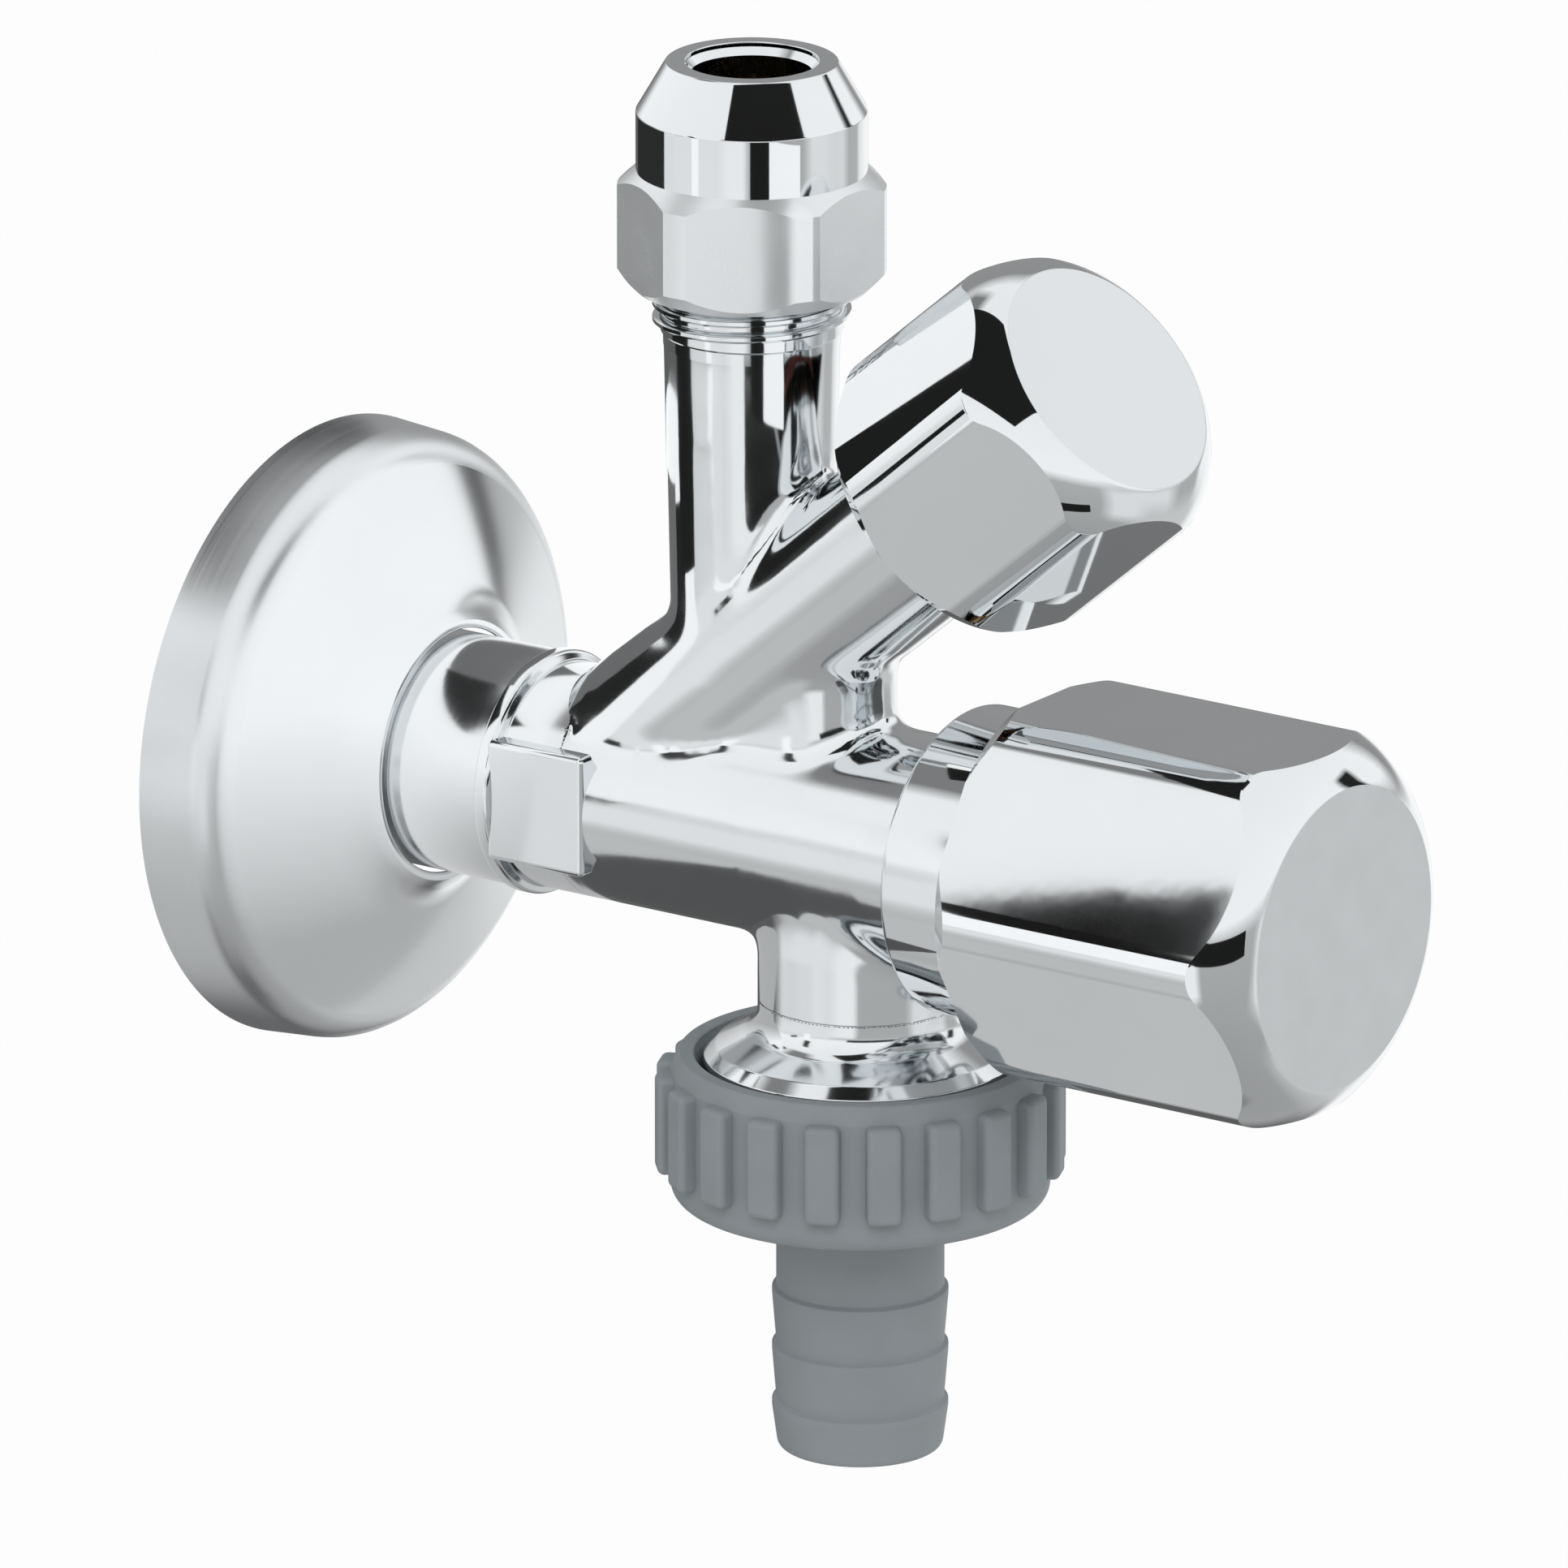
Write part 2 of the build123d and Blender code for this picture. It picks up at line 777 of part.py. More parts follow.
def hose_tail():
    """Flanged plastic tail with barbs that taper towards the end."""
    flange_top = hose_thread_end + gasket_thickness
    corners = [
        (tail_bore_radius, flange_top),
        (tail_flange_radius, flange_top),
        (tail_flange_radius, union_nut_floor),
        (tail_hub_radius, union_nut_floor),
        (tail_hub_radius, union_nut_bottom - 0.6),
        (tail_radius, union_nut_bottom),
    ]
    for index in range(barb_count):
        crest = barb_first + index * barb_pitch
        corners.append((tail_radius, crest - 0.25))
        corners.append((barb_radius, crest))
        corners.append((barb_radius, crest + 0.5))
    corners.append((tail_end_radius, tail_end, 0.7))
    corners.append((tail_bore_radius, tail_end))
    return turned(hose_line, *corners)


# Backflow cartridge

check_seat = cartridge_top + check_seat_height
cartridge_end = cartridge_top + cartridge_length
guide_top = cartridge_end - guide_height


def check_housing():
    """Plastic cage with the seat above and a three-armed stem guide below."""
    cage = turned(
        hose_line,
        (check_seat_radius, cartridge_top),
        (cartridge_radius, cartridge_top),
        (cartridge_radius, cartridge_top + 0.8),
        (cartridge_radius - ring_section, cartridge_top + 0.8),
        (cartridge_radius - ring_section, cartridge_top + 0.8 + ring_section),
        (cartridge_radius, cartridge_top + 0.8 + ring_section),
        (cartridge_radius, cartridge_end),
        (cartridge_radius - cartridge_wall, cartridge_end),
        (cartridge_radius - cartridge_wall, check_seat),
        (check_seat_radius, check_seat),
    )
    hub = tube(hose_line, guide_hub_radius, stem_radius + running_gap, guide_top, cartridge_end)
    arm_length = cartridge_radius - cartridge_wall / 2 - guide_hub_radius + 0.3
    arm = Box(arm_length, guide_arm_width, guide_height)
    arm_middle = guide_hub_radius - 0.3 + arm_length / 2
    for place in PolarLocations(arm_middle, 3):
        hub += hose_line * Pos(0, 0, guide_top + guide_height / 2) * place * arm
    return cage + hub


def check_seal():
    """Rubber ring in the cage's groove."""
    foot = cartridge_top + 0.8
    return tube(hose_line, cartridge_radius, cartridge_radius - ring_section, foot, foot + ring_section)


def check_poppet():
    """Disc on a stem that the spring holds against the seat."""
    return turned(
        hose_line,
        (0, check_seat),
        (poppet_radius, check_seat),
        (poppet_radius, check_seat + poppet_thickness, 0.3),
        (stem_radius, check_seat + poppet_thickness),
        (stem_radius, cartridge_end - 0.4),
        (0, cartridge_end - 0.4),
    )


def check_spring():
    """Light coil spring around the stem."""
    foot = check_seat + poppet_thickness + spring_wire
    height = guide_top - spring_wire - foot
    coil = Helix(height / spring_turns, height, spring_radius)
    section = (coil ^ 0) * Circle(spring_wire)
    return hose_line * Pos(0, 0, foot) * sweep(section, coil)


def pieces():
    """Every node's name and its solid."""
    found = {
        "valve_body": valve_body(),
        "wall_escutcheon": wall_escutcheon(),
        "lower_sleeve": lower_sleeve(),
        "compression_nut": compression_nut(),
        "pipe_olive": pipe_olive(),
        "thrust_ring": thrust_ring(),
        "union_nut": union_nut(),
        "hose_gasket": hose_gasket(),
        "hose_tail": hose_tail(),
        "check_housing": check_housing(),
        "check_seal": check_seal(),
        "check_poppet": check_poppet(),
        "check_spring": check_spring(),
        "lower_knob": knob(
            lower,
            lower_knob_back,
            lower_knob_front,
            lower_knob_turn,
            lower_knob_corner_radius,
            lower_knob_face_radius,
            lower_knob_corner_round,
            lower_knob_shoulder,
        ),
        "upper_knob": knob(
            upper,
            upper_knob_back,
            upper_knob_front,
            upper_knob_turn,
            upper_knob_corner_radius,
            upper_knob_face_radius,
            upper_knob_corner_round,
            upper_knob_shoulder,
        ),
    }
    for name, size in (("lower", lower), ("upper", upper)):
        found[name + "_bonnet"] = bonnet(size)
        found[name + "_bonnet_seal"] = bonnet_seal(size)
        found[name + "_piston"] = piston(size)
        found[name + "_piston_ring"] = piston_ring(size)
        found[name + "_seat_washer"] = seat_washer(size)
        found[name + "_spindle"] = spindle(size)
        found[name + "_spindle_ring"] = spindle_ring(size)
        found[name + "_spindle_clip"] = spindle_clip(size)
        found[name + "_knob_insert"] = knob_insert(size)
    return found


os.makedirs("parts", exist_ok=True)
for node_name, solid in pieces().items():
    export_step(solid, f"parts/{node_name}.step")
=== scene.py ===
import json
import math

import bpy
import numpy as np
from mathutils import Matrix, Vector


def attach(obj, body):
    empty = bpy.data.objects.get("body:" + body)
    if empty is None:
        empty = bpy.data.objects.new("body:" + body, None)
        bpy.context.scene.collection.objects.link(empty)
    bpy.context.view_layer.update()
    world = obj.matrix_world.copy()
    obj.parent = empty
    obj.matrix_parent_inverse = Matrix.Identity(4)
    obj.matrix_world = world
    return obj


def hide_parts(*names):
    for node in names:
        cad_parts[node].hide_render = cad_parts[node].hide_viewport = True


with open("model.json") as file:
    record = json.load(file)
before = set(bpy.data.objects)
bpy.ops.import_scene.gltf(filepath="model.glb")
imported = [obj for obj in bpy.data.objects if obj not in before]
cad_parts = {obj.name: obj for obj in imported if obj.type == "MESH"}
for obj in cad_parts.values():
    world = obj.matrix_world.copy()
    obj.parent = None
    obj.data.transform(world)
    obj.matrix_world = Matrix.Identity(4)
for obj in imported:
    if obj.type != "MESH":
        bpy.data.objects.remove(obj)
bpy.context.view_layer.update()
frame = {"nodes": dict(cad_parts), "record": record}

bl_info = {
    "name": "Washing machine valve",
    "version": (1, 0, 0),
    "blender": (4, 5, 0),
    "location": "View3D > Sidebar > Valve",
    "description": "Dresses the frame of a double angle valve: casting, knobs, nuts, hose tail and cover plate",
    "category": "Add Mesh",
}

MM = 0.001
FINE = 160

# Casting, in millimetres from the wall or from the crossing lines
CORE_START = 30
CORE_END = 68
BRANCH_FLARE = 0.05
BRANCH_FOOT_RADIUS = 7.7
BRANCH_END = 49.2
UPRIGHT_FOOT_RADIUS = 6.8
UPRIGHT_TOP_RADIUS = 7.4
UPRIGHT_GROWTH = 0.6
UPRIGHT_TOP = 43.0
DROP_RADIUS = 8.6
DROP_END = 14.2
WEB_OUT = 51.6
WEB_HEIGHT = 16
KEEL_TIP_RADIUS = 4.3
KEEL_LENGTH = 18.0
KEEL_DROP = 1.85
NECK_FRONT = 22.7
PAD_OUT = 28.7
PAD_SIZE = (19.8, 9.8, 10.4)
PAD_ROUND = 0.5

# Ribs of the hose nut and barbs of the hose tail, in millimetres
RIB_COUNT = 20
RIB_START = 30.0
RIB_SIZE = (2.3, 2.95, 8.5)
RIB_STAND = 0.15
RIB_MIDDLE = 24.55
BARB_COUNT = 3
BARB_START = 39.4
BARB_PITCH = 4.95

# Blend between the casting's tubes
BLEND_FULL = 1.35
BLEND_REACH = 1.9
BLEND_BACK = 31
BLEND_TOP = 41.5
BLEND_FOOT = 16
BLEND_LEVELS = 10
BLEND_PASSES = 90
SNAP_REACH = 0.25
FAR_OFF = 10
BEHIND_AXIS = -4

# Camera, fitted to the photograph
CAMERA_BACK = (-0.779, -0.552, 0.297)
CAMERA_RIGHT = (0.578, -0.816, 0.0)
CAMERA_DISTANCE = 2.208
AIM_RIGHT = 0.03865
AIM_DOWN = 0.00517
CAMERA_LENS = 600
CAMERA_SENSOR = 36


def length(label, words, millimetres):
    """A size in metres that the sidebar shows as a length."""
    return bpy.props.FloatProperty(
        name=label, description=words, default=millimetres * MM, unit="LENGTH", precision=5
    )


def colour(label, words, value):
    """A colour that the sidebar shows as a swatch."""
    return bpy.props.FloatVectorProperty(
        name=label, description=words, default=value, size=3, min=0.0, max=1.0, subtype="COLOR"
    )


def angle(label, words, degrees):
    """An angle that the sidebar shows in degrees."""
    return bpy.props.FloatProperty(name=label, description=words, default=math.radians(degrees), subtype="ANGLE")


class ValveSizes(bpy.types.PropertyGroup):
    """Sizes of the visible pieces, as the frame has them."""

    branch_slope: angle("Branch slope", "Rise of the slanting tube above the inlet line", 40.3)
    branch_root: length("Branch root", "Where the slanting tube's axis leaves the inlet line", 28.2)
    pipe_out: length("Pipe outlet", "Distance of the upper outlet from the wall", 44.1)
    hose_out: length("Hose outlet", "Distance of the lower outlet from the wall", 55.2)
    main_radius: length("Main tube radius", "Horizontal tube of the casting", 9.65)
    neck_radius: length("Neck radius", "Turned neck behind the casting", 10.1)
    branch_radius: length("Branch radius", "Slanting tube of the casting", 7.75)
    web_radius: length("Web radius", "Round front of the filling below the branch", 6.0)
    plate_radius: length("Cover plate radius", "Outer edge of the cover plate", 26.5)
    lower_knob_radius: length("Lower knob radius", "Half the lower knob's width across its corners", 17.1)
    upper_knob_radius: length("Upper knob radius", "Half the upper knob's width across its corners", 13.85)
    nut_flats: length("Pipe nut width", "Width of the compression nut across its flats", 20.4)
    union_radius: length("Hose nut radius", "Plain wall of the ribbed nut", 15.9)
    voxel: length("Blend grid", "Grid on which the casting's tubes run into each other", 0.36)


class ValveFinish(bpy.types.PropertyGroup):
    """Colours of the finishes."""

    chrome: colour("Chrome", "Polished chrome", (0.80, 0.825, 0.84))
    plastic: colour("Grey plastic", "Hose nut and hose tail", (0.250, 0.276, 0.290))
    brass: colour("Brass", "Turned inner pieces", (0.72, 0.50, 0.24))
    rubber: colour("Rubber", "Seals and gaskets", (0.03, 0.03, 0.032))
    cage: colour("White plastic", "Backflow cage and knob bushes", (0.78, 0.78, 0.76))
    floor: colour("Floor", "Pale floor far below the valve", (0.9, 0.9, 0.9))


# Lines that the pieces stand on

def line_at(origin, direction):
    """Placement whose Z runs along a sub-part's axis and whose X stays the frame's X."""
    z_axis = Vector(direction).normalized()
    x_axis = Vector((1, 0, 0))
    y_axis = z_axis.cross(x_axis)
    turned = Matrix((x_axis, y_axis, z_axis)).transposed().to_4x4()
    return Matrix.Translation(origin) @ turned


def inlet_line():
    """Axis of the inlet, the neck, the main tube and the lower knob."""
    return line_at((0, 0, 0), (0, -1, 0))


def branch_line(sizes):
    """Axis of the slanting tube and the upper knob."""
    slope = sizes.branch_slope
    return line_at((0, -sizes.branch_root, 0), (0, -math.cos(slope), math.sin(slope)))


def pipe_line(sizes):
    """Axis of the upper outlet and its nut."""
    return line_at((0, -sizes.pipe_out, 0), (0, 0, 1))


def hose_line(sizes):
    """Axis of the lower outlet, its nut and the hose tail."""
    return line_at((0, -sizes.hose_out, 0), (0, 0, -1))


# Modelling steps

def start_clean():
    """Leaves edit mode and drops the selection, so that the next step acts on its own piece."""
    if bpy.context.object and bpy.context.object.mode != "OBJECT":
        bpy.ops.object.mode_set(mode="OBJECT")
    bpy.ops.object.select_all(action="DESELECT")


def pick(piece):
    """Makes one piece the selected and active one."""
    start_clean()
    piece.select_set(True)
    bpy.context.view_layer.objects.active = piece
    return piece


def tidy_normals(piece, doubles=1e-7):
    """Merges doubles and turns every face outwards."""
    pick(piece)
    bpy.ops.object.mode_set(mode="EDIT")
    bpy.ops.mesh.select_all(action="SELECT")
    bpy.ops.mesh.remove_doubles(threshold=doubles)
    bpy.ops.mesh.normals_make_consistent(inside=False)
    bpy.ops.object.mode_set(mode="OBJECT")
    return piece


def place(piece, placement):
    """Moves a piece onto its line and writes the place into its mesh."""
    pick(piece)
    piece.matrix_world = placement
    bpy.ops.object.transform_apply(location=True, rotation=True, scale=True)
    return piece


def apply(piece, kind, **settings):
    """Adds a modifier, sets it and applies it."""
    pick(piece)
    modifier = piece.modifiers.new(kind.title(), kind)
    for key, value in settings.items():
        setattr(modifier, key, value)
    bpy.ops.object.modifier_apply(modifier=modifier.name)
    return piece


def cut(piece, tool, operation="DIFFERENCE"):
    """Adds or removes a tool's volume and drops the tool."""
    apply(piece, "BOOLEAN", object=tool, operation=operation, solver="EXACT")
    bpy.data.objects.remove(tool, do_unlink=True)
    return piece


def join(first, *others):
    """Makes one piece of several shells."""
    start_clean()
    for piece in (first, *others):
        piece.select_set(True)
    bpy.context.view_layer.objects.active = first
    bpy.ops.object.join()
    return first


def rounded(*corners):
    """Points of a turned outline in millimetres; a third value rounds that corner."""
    points = []
    count = len(corners)
    for index, corner in enumerate(corners):
        here = Vector(corner[:2])
        radius = corner[2] if len(corner) > 2 else 0
        if not radius:
            points.append(here)
            continue
        back = (Vector(corners[index - 1][:2]) - here).normalized()
        ahead = (Vector(corners[(index + 1) % count][:2]) - here).normalized()
        half = back.angle(ahead) / 2
        reach = radius / math.tan(half)
        centre = here + (back + ahead).normalized() * (radius / math.sin(half))
        first = here + back * reach - centre
        last = here + ahead * reach - centre
        sweep = first.angle_signed(last)
        steps = max(3, int(abs(sweep) / math.radians(9)))
        for step in range(steps + 1):
            part = -sweep * step / steps
            points.append(centre + Matrix.Rotation(part, 2) @ first)
    return [(point.x * MM, point.y * MM) for point in points]


def lathe(name, points, closed=True, segments=FINE):
    """Turned piece: a ring is extruded from point to point and scaled to each radius."""
    start_clean()
    radius, along = points[0]
    bpy.ops.mesh.primitive_circle_add(vertices=segments, radius=radius, location=(0, 0, along))
    piece = bpy.context.object
    piece.name = name
    bpy.ops.object.transform_apply(location=True, rotation=True, scale=True)
    bpy.ops.object.mode_set(mode="EDIT")
    bpy.ops.mesh.select_all(action="SELECT")
    if not closed:
        bpy.ops.mesh.edge_face_add()
        bpy.ops.mesh.select_mode(type="EDGE")
        bpy.ops.mesh.select_all(action="SELECT")
    stops = list(points[1:]) + ([points[0]] if closed else [])
    for next_radius, next_along in stops:
        ratio = next_radius / radius
        bpy.ops.mesh.extrude_edges_move(TRANSFORM_OT_translate={"value": (0, 0, next_along - along)})
        if abs(ratio - 1) > 1e-9:
            bpy.ops.transform.resize(value=(ratio, ratio, 1), center_override=(0, 0, next_along))
        radius, along = next_radius, next_along
    if not closed:
        bpy.ops.mesh.edge_face_add()
    bpy.ops.object.mode_set(mode="OBJECT")
    return tidy_normals(piece)


def hexagon(name, half_flats, corner_round, start, end, turn=0.0):
    """Hexagonal bar with rounded long edges, in millimetres, flats facing the line's Y when not turned."""
    start_clean()
    corner = half_flats / math.cos(math.pi / 6)
    bpy.ops.mesh.primitive_cylinder_add(
        vertices=6,
        radius=corner * MM,
        depth=(end - start) * MM,
        location=(0, 0, (start + end) / 2 * MM),
        rotation=(0, 0, math.radians(90 + turn)),
    )
    piece = bpy.context.object
    piece.name = name
    bpy.ops.object.transform_apply(location=True, rotation=True, scale=True)
    if corner_round:
        bpy.ops.object.mode_set(mode="EDIT")
        bpy.ops.mesh.select_all(action="DESELECT")
        bpy.ops.object.mode_set(mode="OBJECT")
        corners = piece.data.vertices
        for edge in piece.data.edges:
            low, high = (corners[index].co for index in edge.vertices)
            edge.select = abs(low.z - high.z) > 1e-6
        bpy.ops.object.mode_set(mode="EDIT")
        bpy.ops.mesh.select_mode(type="EDGE")
        bpy.ops.mesh.bevel(offset=corner_round * MM * math.tan(math.pi / 6), segments=12, profile=0.5)
        bpy.ops.object.mode_set(mode="OBJECT")
    return piece


def thread(name, crest, depth, pitch, start, turns):
    """Helical ridge: a small rounded section screwed along the line, in millimetres."""
    start_clean()
    bpy.ops.mesh.primitive_circle_add(
        vertices=10,
        radius=1,
        location=((crest - depth) * MM, 0, start * MM),
        rotation=(math.pi / 2, 0, 0),
    )
    ridge = bpy.context.object
    ridge.name = name
    ridge.scale = (depth * MM, 0.38 * pitch * MM, 1)
    bpy.ops.object.transform_apply(location=True, rotation=True, scale=True)
    apply(
        ridge,
        "SCREW",
        axis="Z",
        angle=2 * math.pi,
        screw_offset=pitch * MM,
        iterations=turns,
        steps=72,
        render_steps=72,
    )
    pick(ridge)
    bpy.ops.object.mode_set(mode="EDIT")
    bpy.ops.mesh.select_all(action="SELECT")
    bpy.ops.mesh.fill_holes(sides=12)
    bpy.ops.object.mode_set(mode="OBJECT")
    return tidy_normals(ridge)


def shade(piece, degrees=30):
    """Smooth shading that keeps flats flat and edges crisp."""
    pick(piece)
    bpy.ops.object.shade_smooth_by_angle(angle=math.radians(degrees))
    apply(piece, "WEIGHTED_NORMAL", keep_sharp=True, weight=100)
    return piece


def finish_piece(piece, name, body, slot, *materials, nodes=()):
    """Names a piece, gives it its finish and fixes it to its CAD body."""
    piece.name = name
    piece.data.name = name
    for material in materials:
        if material.name not in piece.data.materials:
            piece.data.materials.append(material)
    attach(piece, body)
    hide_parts(*(nodes or (name,)))
    return piece


# Finishes

def new_group(name, inputs, outputs):
    """Shader node group with named sockets."""
    group = bpy.data.node_groups.new(name, "ShaderNodeTree")
    for label, kind, default in inputs:
        socket = group.interface.new_socket(name=label, in_out="INPUT", socket_type=kind)
        if default is not None:
            socket.default_value = default
    for label, kind in outputs:
        group.interface.new_socket(name=label, in_out="OUTPUT", socket_type=kind)
    entry = group.nodes.new("NodeGroupInput")
    leave = group.nodes.new("NodeGroupOutput")
    return group, entry, leave


def feed(tree, socket, value):
    """Links a socket's value or sets it."""
    if isinstance(value, bpy.types.NodeSocket):
        tree.links.new(value, socket)
    else:
        socket.default_value = value


def math_node(tree, operation, *values):
    """Result of a math node on sockets and numbers."""
    node = tree.nodes.new("ShaderNodeMath")
    node.operation = operation
    for socket, value in zip(node.inputs, values):
        feed(tree, socket, value)
    return node.outputs[0]


def vector_node(tree, operation, output, *values):
    """Named result of a vector math node on sockets and vectors."""
    node = tree.nodes.new("ShaderNodeVectorMath")
    node.operation = operation
    for socket, value in zip(node.inputs, values):
        feed(tree, socket, value)
    return node.outputs[output]


def mapped(tree, value, low, high, to_low, to_high):
    """Value carried from one range to another."""
    node = tree.nodes.new("ShaderNodeMapRange")
    tree.links.new(value, node.inputs["Value"])
    for label, number in (("From Min", low), ("From Max", high), ("To Min", to_low), ("To Max", to_high)):
        feed(tree, node.inputs[label], number)
    return node.outputs["Result"]


def mottle_group():
    """Cloudy value that varies slowly over a surface, with a finer grain on it."""
    if "Mottle" in bpy.data.node_groups:
        return bpy.data.node_groups["Mottle"]
    group, entry, leave = new_group(
        "Mottle",
        [("Scale", "NodeSocketFloat", 300.0), ("Low", "NodeSocketFloat", 0.0), ("High", "NodeSocketFloat", 1.0)],
        [("Value", "NodeSocketFloat"), ("Grain", "NodeSocketFloat")],
    )
    where = group.nodes.new("ShaderNodeTexCoord")
    cloud = group.nodes.new("ShaderNodeTexNoise")
    cloud.inputs["Detail"].default_value = 4
    grain = group.nodes.new("ShaderNodeTexNoise")
    grain.inputs["Detail"].default_value = 2
    for noise in (cloud, grain):
        group.links.new(where.outputs["Object"], noise.inputs["Vector"])
    group.links.new(entry.outputs["Scale"], cloud.inputs["Scale"])
    group.links.new(math_node(group, "MULTIPLY", entry.outputs["Scale"], 14.0), grain.inputs["Scale"])
    value = mapped(group, cloud.outputs["Fac"], 0.3, 0.7, entry.outputs["Low"], entry.outputs["High"])
    group.links.new(value, leave.inputs["Value"])
    group.links.new(grain.outputs["Fac"], leave.inputs["Grain"])
    return group


def brushed_group():
    """Fine lines that run round an axis through a point, as a brush leaves them on a turned piece."""
    if "Brushed" in bpy.data.node_groups:
        return bpy.data.node_groups["Brushed"]
    group, entry, leave = new_group(
        "Brushed",
        [("Along", "NodeSocketVector", (0.0, 1.0, 0.0)), ("Fineness", "NodeSocketFloat", 4000.0)],
        [("Lines", "NodeSocketFloat")],
    )
    where = group.nodes.new("ShaderNodeTexCoord").outputs["Object"]
    axis = entry.outputs["Along"]
    fineness = entry.outputs["Fineness"]
    along = vector_node(group, "DOT_PRODUCT", "Value", where, axis)
    across = vector_node(group, "LENGTH", "Value", vector_node(group, "CROSS_PRODUCT", "Vector", where, axis))
    joined = group.nodes.new("ShaderNodeCombineXYZ")
    group.links.new(math_node(group, "MULTIPLY", along, fineness), joined.inputs["X"])
    group.links.new(math_node(group, "MULTIPLY", across, fineness), joined.inputs["Y"])
    drift = vector_node(group, "MULTIPLY", "Vector", where, (60.0, 60.0, 60.0))
    noise = group.nodes.new("ShaderNodeTexNoise")
    noise.inputs["Scale"].default_value = 1.0
    noise.inputs["Detail"].default_value = 3.0
    group.links.new(vector_node(group, "ADD", "Vector", joined.outputs["Vector"], drift), noise.inputs["Vector"])
    group.links.new(noise.outputs["Fac"], leave.inputs["Lines"])
    return group


def new_material(name):
    """Material with one Principled shader."""
    material = bpy.data.materials.new(name)
    material.use_nodes = True
    tree = material.node_tree
    return material, tree, tree.nodes["Principled BSDF"]


def group_node(tree, group, **values):
    """Places a group in a material with its own values."""
    node = tree.nodes.new("ShaderNodeGroup")
    node.node_tree = group
    for label, value in values.items():
        node.inputs[label].default_value = value
    return node


def tinted(tree, mask, dark, light):
    """Colour that follows a mask from dark to light."""
    mix = tree.nodes.new("ShaderNodeMix")
    mix.data_type = "RGBA"
    tree.links.new(mask, mix.inputs["Factor"])
    mix.inputs["A"].default_value = (*dark, 1)
    mix.inputs["B"].default_value = (*light, 1)
    return mix.outputs["Result"]


def bumped(tree, height, strength, depth):
    """Normal from a height."""
    bump = tree.nodes.new("ShaderNodeBump")
    bump.inputs["Strength"].default_value = strength
    bump.inputs["Distance"].default_value = depth
    tree.links.new(height, bump.inputs["Height"])
    return bump.outputs["Normal"]


def chrome(name, tone, rough_low, rough_high, scale=130.0, wave=0.0, brush=None, brush_depth=0.0, metal=1.0):
    """Chrome plate: even tone, roughness in soft patches, and either slow waves or a brush's lines."""
    material, tree, shader = new_material(name)
    shader.inputs["Metallic"].default_value = metal
    patch = group_node(tree, mottle_group(), Scale=scale, Low=0.0, High=1.0)
    dark = [part * 0.965 for part in tone]
    tree.links.new(tinted(tree, patch.outputs["Value"], dark, tone), shader.inputs["Base Color"])
    rough = mapped(tree, patch.outputs["Value"], 0.0, 1.0, rough_low, rough_high)
    if brush:
        lines = group_node(tree, brushed_group(), Along=brush, Fineness=5200.0)
        rough = math_node(tree, "ADD", rough, math_node(tree, "MULTIPLY", lines.outputs["Lines"], 0.12))
        tree.links.new(bumped(tree, lines.outputs["Lines"], 0.35, brush_depth * MM), shader.inputs["Normal"])
    elif wave:
        tree.links.new(bumped(tree, patch.outputs["Value"], 0.5, wave * MM), shader.inputs["Normal"])
    tree.links.new(rough, shader.inputs["Roughness"])
    return material


def moulded(name, tone, rough, grain_depth=0.004):
    """Moulded plastic or rubber: slight clouding and a fine matt grain."""
    material, tree, shader = new_material(name)
    patch = group_node(tree, mottle_group(), Scale=210.0, Low=0.0, High=1.0)
    dark = [part * 0.93 for part in tone]
    tree.links.new(tinted(tree, patch.outputs["Value"], dark, tone), shader.inputs["Base Color"])
    spread = mapped(tree, patch.outputs["Value"], 0.0, 1.0, rough - 0.05, rough + 0.06)
    tree.links.new(spread, shader.inputs["Roughness"])
    tree.links.new(bumped(tree, patch.outputs["Grain"], 0.3, grain_depth * MM), shader.inputs["Normal"])
    shader.inputs["IOR"].default_value = 1.47
    return material


FINISHES = (
    "cast_chrome", "neck_chrome", "plate_chrome", "plate_rim", "knob_chrome", "knob_face", "nut_chrome",
    "nut_satin", "moulded_grey", "turned_brass", "spring_steel", "seal_rubber", "pressed_fibre", "cage_plastic",
)
FINISHES_MADE = "valve_finishes_made"


def finishes():
    """Every finish by name, made once."""
    scene = bpy.context.scene
    if scene.get(FINISHES_MADE):
        return {name: bpy.data.materials[name] for name in FINISHES}
    look = scene.valve_finish
    bright = tuple(look.chrome)
    steel = tuple(part * 0.8 for part in bright)
    chrome("cast_chrome", bright, 0.07, 0.12, scale=95.0, wave=0.015)
    chrome("neck_chrome", bright, 0.10, 0.16, scale=160.0, brush=(0.0, 1.0, 0.0), brush_depth=0.004)
    chrome("plate_chrome", bright, 0.19, 0.22, scale=60.0)
    chrome("plate_rim", bright, 0.26, 0.30, scale=160.0, brush=(0.0, 1.0, 0.0), brush_depth=0.002)
    chrome("knob_chrome", bright, 0.03, 0.05, scale=70.0, wave=0.006)
    chrome("knob_face", bright, 0.33, 0.40, scale=260.0)
    chrome("nut_chrome", bright, 0.04, 0.08, scale=120.0)
    chrome("nut_satin", bright, 0.22, 0.28, scale=240.0, metal=0.55)
    chrome("turned_brass", tuple(look.brass), 0.22, 0.32, scale=300.0)
    chrome("spring_steel", steel, 0.2, 0.3, scale=300.0)
    moulded("moulded_grey", tuple(look.plastic), 0.60)
    moulded("seal_rubber", tuple(look.rubber), 0.6)
    moulded("pressed_fibre", (0.25, 0.06, 0.04), 0.7)
    moulded("cage_plastic", tuple(look.cage), 0.4)
    scene[FINISHES_MADE] = True
    return {name: bpy.data.materials[name] for name in FINISHES}


